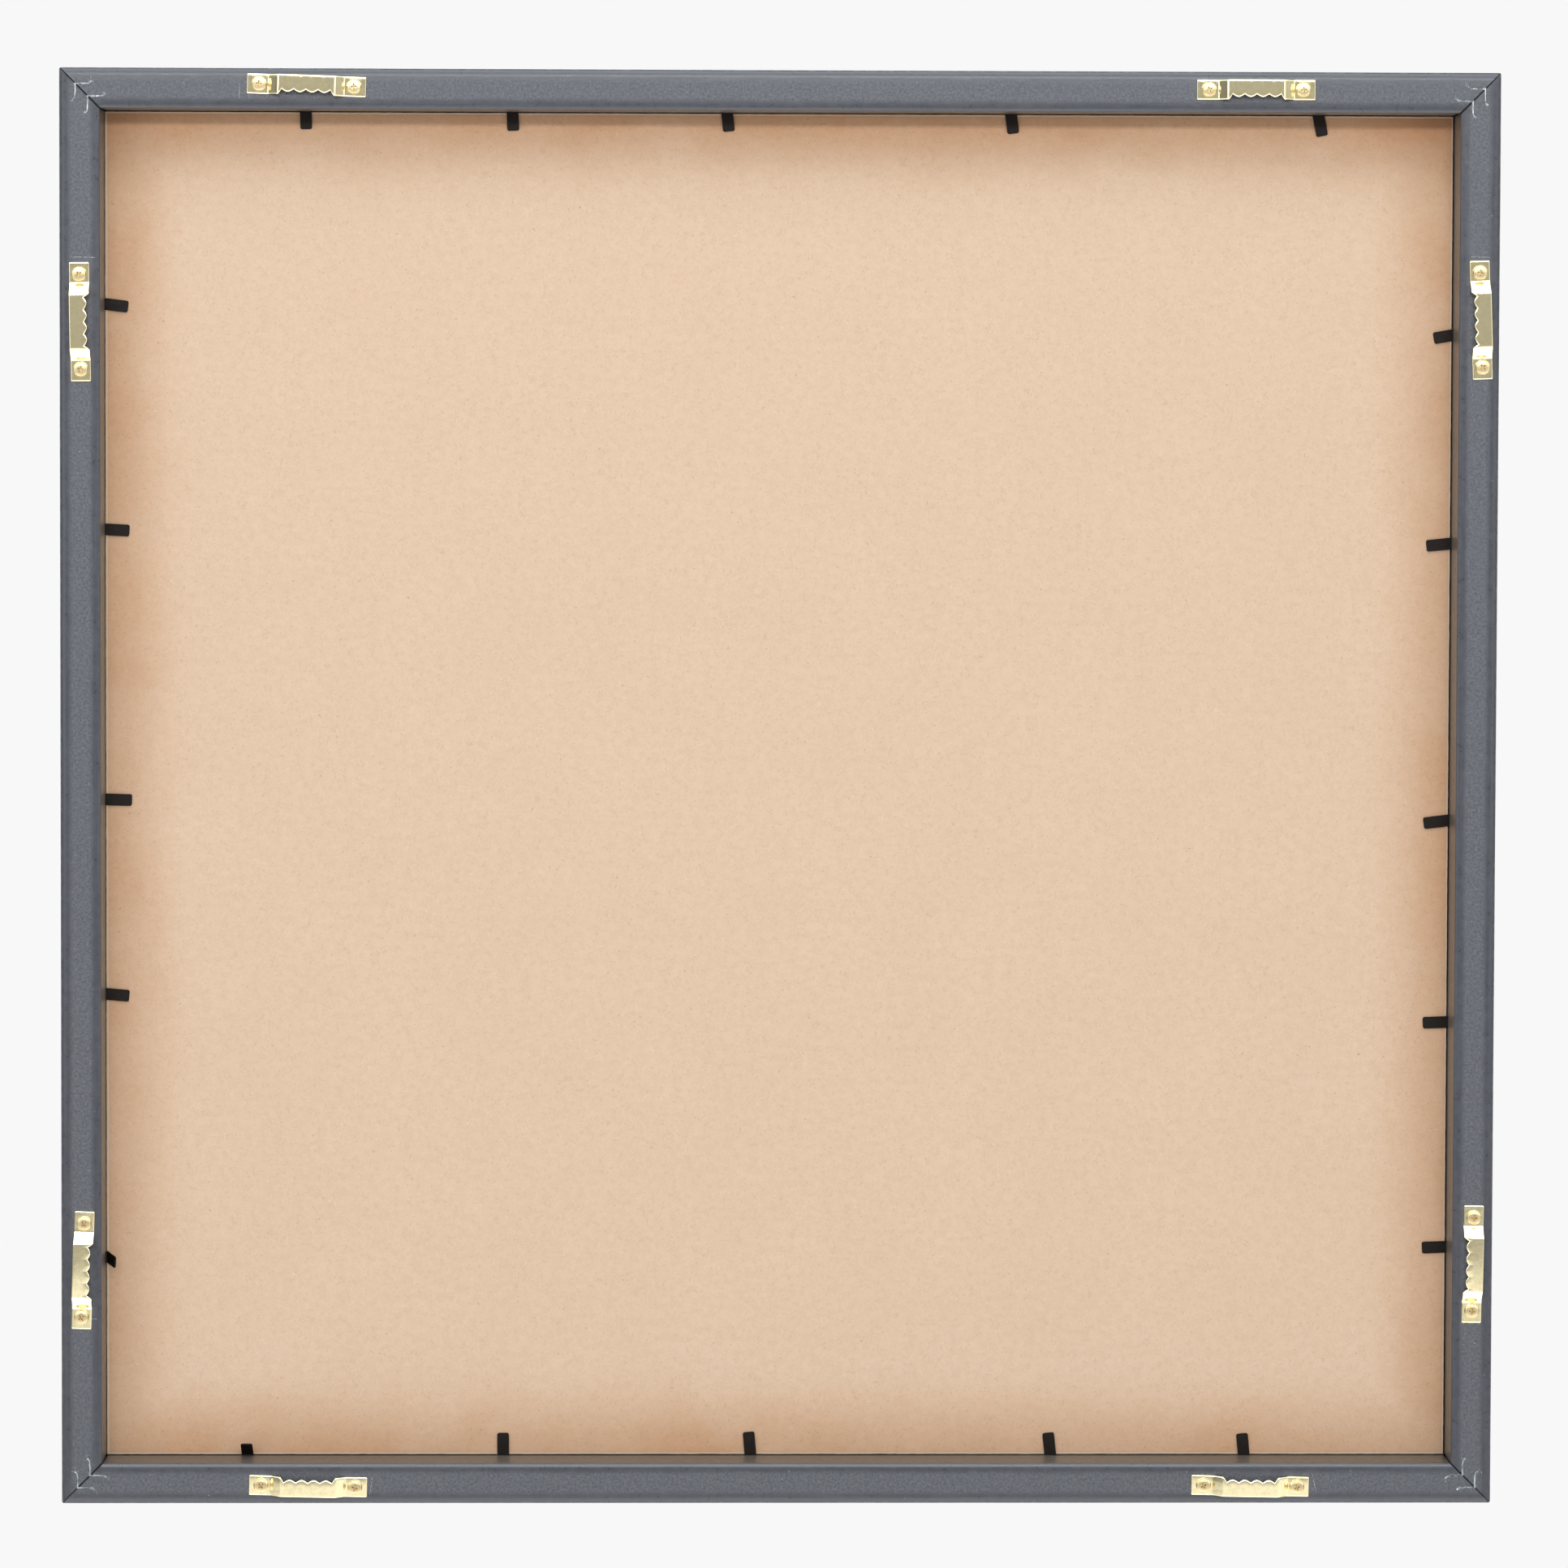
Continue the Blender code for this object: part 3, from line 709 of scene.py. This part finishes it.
# Fine light scribe marks beside the hangers: side, then two (along, inset) ends in millimetres.
SCRIBES = [
    ("left", 198.6, 3.6, 198.8, 11.6),
    ("right", -197.2, 3.6, -196.9, 14.4),
    ("right", 197.5, 9.4, 197.6, 13.2),
    ("left", -199.3, 3.2, -199.4, 13.0),
    ("bottom", 201.6, 3.4, 199.9, 11.8),
    ("bottom", -152.4, 3.0, -151.2, 11.0),
    ("top", 200.2, 5.2, 200.4, 11.9),
]


def make_marks():
    rng = random.Random(7)
    bm = bmesh.new()
    for side, s0, r0, s1, r1 in SCRIBES:
        to_world = side_space(side)
        for strand in range(2):
            shift = strand * 0.14 + rng.uniform(-0.03, 0.03)
            low, high = rng.uniform(0, 0.2), rng.uniform(0.75, 1.0)
            path, radii = [], []
            count = 16
            for k in range(count + 1):
                t = low + (high - low) * k / count
                s = s0 + (s1 - s0) * t + shift + rng.uniform(-0.02, 0.02)
                r = r0 + (r1 - r0) * t
                path.append(to_world @ Vector((s * MM, r * MM, REAR + 0.012 * MM)))
                radii.append(rng.uniform(0.04, 0.10) * MM)
            tube(bm, path, radii, 5, 0.4)
    piece("scribe_marks", bm, TORN)
    bm = bmesh.new()
    for side, count in (("bottom", 34), ("top", 8), ("left", 10), ("right", 10)):
        to_world = side_space(side)
        for _ in range(count):
            s, r = rng.uniform(-235, 235) * MM, rng.uniform(1.9, 13.6) * MM
            size = rng.uniform(0.07, 0.20) * MM
            spot = bmesh.ops.create_icosphere(bm, subdivisions=2, radius=size)["verts"]
            turn = Matrix.Rotation(rng.uniform(0, math.tau), 4, "Z")
            flat = Matrix.Diagonal((1, rng.uniform(0.6, 1.6), 0.35, 1))
            spin = to_world @ Matrix.Translation((s, r, REAR + 0.01 * MM)) @ turn @ flat
            bmesh.ops.transform(bm, matrix=spin, verts=spot)
    piece("paint_specks", bm, TORN)


make_marks()


# ---------------------------------------------------------------- hangers and screws

THICK = 0.8 * MM
HANGER_HALF = 22 * MM
WIDTH = 7.4 * MM
BEND_START, BEND_END = 9.6 * MM, 14.6 * MM
PITCH = 4.5 * MM
NOTCH_ROOT, TOOTH_TIP = 5.45 * MM, 6.5 * MM
SHOULDER = 10.3 * MM
SEAT = 0.03 * MM
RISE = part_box("hanger_top_left")[1].y - REAR - THICK - SEAT
SCREW_INSET = 4.5 * MM


def bend_height(along):
    """How far the sheet's middle stands above its pads: level, a straight slope with rounded bends, level."""
    t = (abs(along) - BEND_START) / (BEND_END - BEND_START)
    t = min(1.0, max(0.0, t))
    w = 0.27
    if t < w:
        share = t * t / (2 * w * (1 - w))
    elif t < 1 - w:
        share = (t - w / 2) / (1 - w)
    else:
        share = 1 - (1 - t) ** 2 / (2 * w * (1 - w))
    return RISE * (1 - share)


def toothed_edge(along):
    """Distance from the plain edge to the toothed one: round lobes between sharp notches."""
    a = abs(along)
    if a < 2 * PITCH:
        u = (a % PITCH) / PITCH * 2 - 1
        return NOTCH_ROOT + (TOOTH_TIP - NOTCH_ROOT) * (1 - abs(u) ** 1.6)
    if a < SHOULDER:
        t = (a - 2 * PITCH) / (SHOULDER - 2 * PITCH)
        return NOTCH_ROOT + (WIDTH - NOTCH_ROOT) * t**0.85
    return WIDTH


def rolled(distance, radius, drop):
    """How far a rounded edge falls at this distance from it."""
    if distance >= radius:
        return 0.0
    t = 1 - distance / radius
    return drop * (1 - math.sqrt(max(0.0, 1 - t * t)))


def hanger_shape(seed):
    """A pressed sheet-brass hanger about the middle of its pads, toothed edge at +Y, back at +Z."""
    rng = random.Random(seed)
    twist, crown = rng.uniform(-0.012, 0.012), rng.uniform(0.04, 0.10) * MM
    offsets = [0, 0.03, 0.08, 0.15, 0.24, 0.36, 0.52, 0.70]
    ends = [0, 0.03, 0.08, 0.16, 0.27, 0.40]
    tip, step = round(HANGER_HALF / MM), 0.25
    stops = [-tip + e for e in ends]
    stops += [-tip + 0.5 + step * k for k in range(round((2 * tip - 1) / step) + 1)]
    stops += [tip - e for e in reversed(ends)]
    bm = bmesh.new()
    rings = []
    for stop in stops:
        s = stop * MM
        from_end = HANGER_HALF - abs(s)
        corner = 0.5 * MM
        nip = 0.0
        if from_end < corner:
            nip = corner - math.sqrt(max(0.0, corner**2 - (corner - from_end) ** 2))
        low, high = -WIDTH / 2 + nip, toothed_edge(s) - WIDTH / 2 - nip
        slope = (bend_height(s + 0.05 * MM) - bend_height(s - 0.05 * MM)) / (0.1 * MM)
        angle = math.atan(slope)
        normal = Vector((-math.sin(angle), 0, math.cos(angle)))
        bridge = 1 - min(1.0, abs(s) / BEND_START) ** 2
        end_drop = rolled(from_end, 0.40 * MM, 0.28 * MM)
        rim = [low + o * MM for o in offsets[:6]]
        rim += [low + (high - low) * t for t in (0.2, 0.4, 0.6)]
        rim += [high - o * MM for o in reversed(offsets)]
        ring = [(low, -THICK / 2), (high, -THICK / 2)]
        for y in reversed(rim):
            plain = rolled(y - low, 0.38 * MM, 0.26 * MM)
            toothed = rolled(high - y, 0.70 * MM, 0.24 * MM)
            fall = max(plain, toothed, end_drop)
            ring.append((y, THICK / 2 - fall))
        middle = Vector((s, 0, bend_height(s) + crown * bridge))
        points = []
        for y, out in ring:
            turned = middle + normal * out
            points.append((turned.x, y, turned.z + y * twist * bridge))
        rings.append(points)
    skin(bm, rings)
    bmesh.ops.remove_doubles(bm, verts=bm.verts, dist=0.002 * MM)
    return bm


def screw_shape():
    """A pan-headed wood screw with its thread, point down, about the middle of the head's underside."""
    # (radius, height) in millimetres from the middle of the head, over its rim, to the neck
    profile = [
        (0.0, 1.50), (0.9, 1.50), (1.7, 1.48), (1.84, 1.45), (1.92, 1.41),
        (2.02, 1.43), (2.25, 1.39), (2.45, 1.28), (2.62, 1.08), (2.74, 0.78),
        (2.80, 0.42), (2.78, 0.14), (2.70, 0.0), (1.25, 0.0), (1.20, -0.15),
    ]
    bottom, point = -9.5, -12.0
    pitch, level = 1.1, -0.6
    while level > point + 0.4:
        core = 0.85 if level > bottom else 0.85 * (level - point) / (bottom - point)
        profile += [(core, level), (core + 0.33 * core / 0.85, level - pitch / 2)]
        level -= pitch
    profile.append((0.0, point))
    sides = 32
    bm = bmesh.new()
    rings = []
    for radius, height in profile[1:-1]:
        ring = []
        for k in range(sides):
            turn = math.tau * k / sides
            spiral = -0.5 * pitch * k / sides if height < -0.5 else 0
            x, y, z = radius * math.cos(turn), radius * math.sin(turn), height + spiral
            ring.append((x * MM, y * MM, z * MM))
        rings.append(ring)
    made = skin(bm, rings, caps=False)
    for ring, height in ((made[0], profile[0][1]), (made[-1], profile[-1][1])):
        tip = bm.verts.new((0, 0, height * MM))
        for i in range(sides):
            bm.faces.new((tip, ring[i], ring[(i + 1) % sides]))
    mesh = to_mesh("screw", bm)
    # the cross recess, tapering to its floor
    bm = bmesh.new()
    wide, narrow, reach, shallow = 0.30, 0.18, 1.18, 0.80
    cross = []
    for arm, half, height in ((reach, wide, 1.7), (shallow, narrow, 0.55)):
        ordered = []
        for quarter in range(4):
            turn = Matrix.Rotation(math.pi / 2 * quarter, 2)
            for p in ((arm, -half * 0.8), (arm, half * 0.8), (half, half)):
                spot = turn @ Vector(p)
                ordered.append((spot.x * MM, spot.y * MM, height * MM))
        cross.append(ordered)
    skin(bm, cross)
    mesh = cut(mesh, to_mesh("recess", bm))
    dress(mesh, SCREW_BRASS, 42)
    return mesh


def middle_of(node):
    low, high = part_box(node)
    return (low + high) / 2


def make_hangers():
    screw = screw_shape()
    hangers = [name[len("hanger_"):] for name in frame["nodes"] if name.startswith("hanger_")]
    for number, name in enumerate(sorted(hangers)):
        side = name.split("_")[0]
        home = side_space(side).inverted()
        first, second = (home @ middle_of(f"screw_{name}_{k}") for k in (1, 2))
        centre, run = (first + second) / 2, second - first
        skew = math.atan2(run.y, run.x)
        seat = Vector((centre.x, centre.y, REAR + SEAT + THICK / 2))
        matrix = side_space(side) @ Matrix.Translation(seat) @ Matrix.Rotation(skew, 4, "Z")
        piece(
            "sawtooth_plate_" + name, hanger_shape(300 + number), BRASS,
            stands_for=["hanger_" + name], matrix=matrix, sharp=50,
        )
        rng = random.Random(60 + number)
        for k, end in ((1, -1), (2, 1)):
            spot = Matrix.Translation((end * (HANGER_HALF - SCREW_INSET), 0, THICK / 2))
            spin = Matrix.Rotation(rng.uniform(0, math.pi / 2), 4, "Z")
            tilt = Matrix.Rotation(rng.uniform(-0.03, 0.03), 4, "X")
            piece(
                f"pan_head_screw_{name}_{k}", screw, SCREW_BRASS,
                stands_for=[f"screw_{name}_{k}"], matrix=matrix @ spot @ tilt @ spin,
            )


make_hangers()


# ---------------------------------------------------------------- flexible points

TONGUE_THICK = 0.5 * MM
TONGUE_HALF = 2.2 * MM
TIP_ROUND = 0.8 * MM


def make_points():
    for number, joint in enumerate(frame["joints"]):
        node = joint["child"]
        rng = random.Random(500 + number)
        hinge, axis = Vector(joint["pos_m"]), Vector(joint["axis"]).normalized()
        inwards = SIDES[node.split("_")[1]][1]
        points = [v.co.copy() for v in frame["nodes"][node].data.vertices]
        lead = (sum(points, Vector()) / len(points) - hinge).normalized()
        length = max((p - hinge).dot(lead) for p in points)
        normal = axis.cross(lead).normalized()
        if normal.dot(BACKWARDS) < 0:
            normal = -normal
        across = normal.cross(lead).normalized()
        lifted = abs(lead.dot(BACKWARDS)) > 0.2
        sag = rng.uniform(0.08, 0.16) * MM * (0.2 if lifted else 1)
        stations = [((length - TIP_ROUND) * k / 8, TONGUE_HALF) for k in range(9)]
        for k in range(1, 9):
            turn = math.pi / 2 * k / 8
            reach = length - TIP_ROUND * (1 - math.sin(turn))
            stations.append((reach, TONGUE_HALF - TIP_ROUND * (1 - math.cos(turn))))
        bm = bmesh.new()
        rings = []
        # where a point leans, its root is cut along the bend line
        slant = axis - axis.dot(lead) * lead
        skewed = lead * (axis.dot(lead) / max(1e-6, slant.length)) * (1 if slant.dot(across) > 0 else -1)
        bevel, thin = 0.09 * MM, TONGUE_THICK / 2
        for reach, half in stations:
            t = reach / length
            dip = -sag * t * t + 0.06 * MM * math.sin(math.pi * t)
            root = max(0.0, 1 - reach / (1.5 * MM))
            centre = hinge + lead * reach + normal * dip
            ring = []
            for a, n in (
                (-half + bevel, -thin), (half - bevel, -thin), (half, -thin + bevel), (half, thin - bevel),
                (half - bevel, thin), (-half + bevel, thin), (-half, thin - bevel), (-half, -thin + bevel),
            ):
                ring.append(centre + across * a + skewed * a * root + normal * n)
            rings.append(ring)
        skin(bm, rings)
        # a knuckle along the bend line
        knuckle = [hinge + axis * (k / 6 * 2 - 1) * (TONGUE_HALF - 0.02 * MM) for k in range(7)]
        rounds = []
        for point in knuckle:
            rounds.append([
                point + (math.cos(math.tau * k / 12) * inwards + math.sin(math.tau * k / 12) * BACKWARDS)
                * (TONGUE_THICK / 2) for k in range(12)
            ])
        skin(bm, rounds)
        piece("point_" + node[4:], bm, BLACK, body=node, stands_for=[node])
        # the part that stays in the rail
        bm = bmesh.new()
        rings = []
        for back in (2.2, 1.2, 0.6, 0.25, 0.0):
            half = TONGUE_HALF - 0.06 * MM
            centre = hinge - inwards * back * MM
            ring = []
            for a, n in ((-half, -0.2), (half, -0.2), (half, 0.2), (-half, 0.2)):
                ring.append(centre + axis * a + BACKWARDS * n * MM)
            rings.append(ring)
        skin(bm, rings)
        piece("point_shank_" + node[4:], bm, BLACK)


make_points()


# ---------------------------------------------------------------- panel, board, sheet and glazing


def square(half, step):
    """A square's outline, with points no further apart than step."""
    return between([Vector((x * half, z * half)) for x, z in ((-1, -1), (1, -1), (1, 1), (-1, 1))], step)


def slab(half, front, rear, wobble, step, shift, bevel, seed):
    """A square sheet across the frame with a ragged or crisp outline and softened edges."""
    outline = square(half, step)

    def at(depth, inset, rough):
        ring = []
        for p in outline:
            q = p * (1 - inset / half)
            n = noise.noise(Vector((p.x * 420, p.y * 420, seed)))
            n += 0.6 * noise.noise(Vector((p.x * 1100, p.y * 1100, seed)))
            pull = 1 - wobble * rough * (0.5 + 0.5 * n) / half
            ring.append((q.x * pull + shift, depth, q.y * pull))
        return ring

    bm = bmesh.new()
    skin(bm, [
        at(front, bevel, 1), at(front + bevel, 0, 1), at(rear - bevel, 0, 1),
        at(rear - bevel * 0.3, bevel * 0.35, 0.9), at(rear, bevel, 0.8), at(rear, bevel + 1.5 * MM, 0),
    ])
    return bm


def node_half(node):
    """Half a sheet's height, how far its middle is to one side, and its front and rear."""
    low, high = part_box(node)
    return (high.z - low.z) / 2, (high.x + low.x) / 2, low.y, high.y


def make_panel():
    front = node_half("back_panel")[2]
    board = slab(PANEL_HALF, front, PANEL_REAR, 0.16 * MM, 0.8 * MM, PANEL_SHIFT, 0.22 * MM, 3.3)
    piece("mdf_panel", board, MDF, stands_for=["back_panel"])
    loose = (("fibres_dark", DARK_FIBRE, 300, 11), ("fibres_pale", PALE_FIBRE, 130, 12))
    for name, finish, count, seed in loose:
        rng = random.Random(seed)
        bm = bmesh.new()
        for _ in range(count):
            x, z = rng.uniform(-0.247, 0.247), rng.uniform(-0.247, 0.247)
            heading, bend = rng.uniform(0, math.tau), rng.uniform(-2.4, 2.4)
            length = rng.uniform(0.5, 2.2) * MM
            path, radii = [], []
            for k in range(6):
                turn = heading + bend * k / 5
                x += math.cos(turn) * length / 5
                z += math.sin(turn) * length / 5
                path.append(Vector((x, PANEL_REAR + 0.012 * MM, z)))
                radii.append(rng.uniform(0.022, 0.055) * MM)
            radii[0] = radii[-1] = 0.015 * MM
            tube(bm, path, radii, 5, 0.6)
        piece(name, bm, finish)


make_panel()


def make_stack():
    half, shift, front, rear = node_half("mount_board")
    board_front = rear - 1.6 * MM
    sheet = slab(half, board_front, rear, 0.05 * MM, 4 * MM, shift, 0.10 * MM, 5.1)
    piece("mount_card_sheet", sheet, CARD, stands_for=["mount_board"])
    width = 4.2 * MM
    for side in SIDES:
        bm = bmesh.new()
        outer = HALF - (half - abs(shift)) + 0.05 * MM
        section = rounded([
            (outer, front, 0.25 * MM), (outer + width, front, 0.25 * MM),
            (outer + width, board_front - 0.02 * MM, 0.1 * MM), (outer, board_front - 0.02 * MM, 0.1 * MM),
        ], 3)
        rings = []
        for k in range(-20, 21):
            ring = []
            for inset, depth in section:
                s = (HALF - inset - 0.05 * MM) * k / 20
                ring.append(side_space(side) @ Vector((s, inset, depth)))
            rings.append(ring)
        skin(bm, rings)
        piece("spacer_" + side, bm, SPACER, stands_for=["mount_board"])
    half, shift, front, rear = node_half("floated_sheet")
    thick, riser = 0.5 * MM, 180 * MM
    outline = square(half, 0.8 * MM)
    bm = bmesh.new()

    def deckle(depth, share, feather):
        ring = []
        for p in outline:
            n = noise.noise(Vector((p.x * 190, p.y * 190, 2.2)))
            n += 0.7 * noise.noise(Vector((p.x * 640, p.y * 640, 4.4)))
            pull = 1 - (1.0 * MM * (0.5 + 0.5 * n) * share + feather) / half
            cockle = 0.12 * MM * noise.noise(Vector((p.x * 9, p.y * 9, 8.0)))
            ring.append((p.x * pull, depth + cockle * share, p.y * pull))
        return ring

    skin(bm, [
        deckle(front + 0.14 * MM, 0.2, 4.0 * MM), deckle(front + 0.14 * MM, 1, 1.6 * MM),
        deckle(front + 0.24 * MM, 1, 0.5 * MM), deckle(front + 0.36 * MM, 1, 0),
        deckle(front + 0.44 * MM, 1, 0.1 * MM), deckle(front + thick, 1, 1.2 * MM),
    ])
    piece("deckle_edged_sheet", bm, PAPER, stands_for=["floated_sheet"])
    raised = slab(riser, front + thick + 0.02 * MM, rear, 0.05 * MM, 5 * MM, 0, 0.08 * MM, 6.4)
    piece("riser_panel", raised, FOAM, stands_for=["floated_sheet"])
    half, shift, front, rear = node_half("glazing")
    clear = slab(half, front, rear, 0.0, 20 * MM, shift, 0.25 * MM, 7.7)
    piece("glazing_sheet", clear, GLASS, stands_for=["glazing"])


make_stack()


# ---------------------------------------------------------------- floor, light and camera

FLOOR_LEVEL = -0.42


def make_floor():
    bm = bmesh.new()
    corners = [(-2.2, -0.56), (2.2, -0.56), (2.2, 3.0), (-2.2, 3.0)]
    skin(bm, [[(x, y, FLOOR_LEVEL - drop) for x, y in corners] for drop in (0.01, 0)])
    mesh = to_mesh("floor", bm)
    mesh.materials.append(studio_floor())
    floor = bpy.data.objects.new("floor", mesh)
    bpy.context.scene.collection.objects.link(floor)
    floor.visible_glossy = False


make_floor()


BACKDROP, ROOM, FAR_SIDE = 0.939, 0.30, 0.8  # what the camera, soft light and front reflections see


def make_world():
    """Plain white to the camera, soft all-round light, and bands in the reflections of the back."""
    world = bpy.data.worlds.new("studio")
    bpy.context.scene.world = world
    world.use_nodes = True
    world.node_tree.nodes.clear()
    m = Nodes(world.node_tree)
    x, y, z = m.add("SeparateXYZ", {0: m.add("TexCoord").outputs["Generated"]}).outputs
    low = m.math("ADD", m.ramp(z, -0.60, -0.35, 1.6, 0.0), m.ramp(z, -0.158, -0.140, 0.66, 0.0))
    high = m.ramp(z, 0.13, 0.30, 0.0, 2.3)
    beside = m.math("ADD", m.ramp(x, 0.5, 0.75, 0.46, 0.25), m.ramp(x, -0.75, -0.5, 0.12, 0.0))
    level = m.math("ADD", m.math("ADD", low, high), beside)
    path = m.add("LightPath").outputs
    for share, other in (
        (m.ramp(y, -0.2, 0.25, 1.0, 0.0), FAR_SIDE),
        (m.math("SUBTRACT", 1.0, path["Is Glossy Ray"]), ROOM),
        (path["Is Camera Ray"], BACKDROP),
    ):
        level = m.add("Mix", {"Factor": share, 2: level, 3: other}, data_type="FLOAT").outputs[0]
    cool = m.math("MULTIPLY", m.ramp(z, 0.10, 0.25), path["Is Glossy Ray"])
    tint = m.blend(cool, (1.0, 1.0, 1.0), (0.90, 1.0, 1.03))
    background = m.add("Background", {"Color": tint, "Strength": level})
    m.add("OutputWorld", {"Surface": background.outputs[0]})


make_world()


def soft_light(name, location, target, width, height, power):
    data = bpy.data.lights.new(name, "AREA")
    data.shape = "RECTANGLE"
    data.size, data.size_y, data.energy = width, height, power
    light = bpy.data.objects.new(name, data)
    bpy.context.scene.collection.objects.link(light)
    light.location = location
    light.rotation_mode = "QUATERNION"
    light.rotation_quaternion = (Vector(target) - Vector(location)).to_track_quat("-Z", "Y")


soft_light("key_overhead", (0.0, 1.15, 2.0), (0, 0, 0.05), 1.8, 1.0, 14)
soft_light("copy_left", (1.9, 1.9, 0.25), (0, 0, 0), 1.2, 1.2, 7.4)
soft_light("copy_right", (-1.9, 1.9, 0.25), (0, 0, 0), 1.2, 1.2, 4.8)
soft_light("high_strip", (0.0, 2.1, 0.84), (0, 0, 0.2), 1.8, 0.20, 18.0)
soft_light("front_fill", (0.6, -2.6, 1.2), (0, 0, 0), 1.6, 1.2, 30)

CAMERA_PLACE = Vector((0.0391, 2.22, 0.14))
CAMERA_YAW, CAMERA_PITCH, CAMERA_ROLL = -0.01839, -0.04124, -0.0030
LENS, SHIFT_Y = 136.38, -0.08


def make_camera():
    look, right, up = Vector((0, -1, 0)), Vector((-1, 0, 0)), Vector((0, 0, 1))
    yaw = Matrix.Rotation(CAMERA_YAW, 3, up)
    look, right = yaw @ look, yaw @ right
    pitch = Matrix.Rotation(CAMERA_PITCH, 3, right)
    look, up = pitch @ look, pitch @ up
    roll = Matrix.Rotation(CAMERA_ROLL, 3, look)
    right, up = roll @ right, roll @ up
    data = bpy.data.cameras.new("camera")
    data.lens, data.sensor_width = LENS, 36
    data.shift_y = SHIFT_Y
    data.clip_start, data.clip_end = 0.05, 50
    camera = bpy.data.objects.new("camera", data)
    bpy.context.scene.collection.objects.link(camera)
    turn = Matrix((right, up, -look)).transposed().to_4x4()
    camera.matrix_world = Matrix.Translation(CAMERA_PLACE) @ turn
    bpy.context.scene.camera = camera


make_camera()
bpy.context.scene.view_settings.view_transform = "Standard"
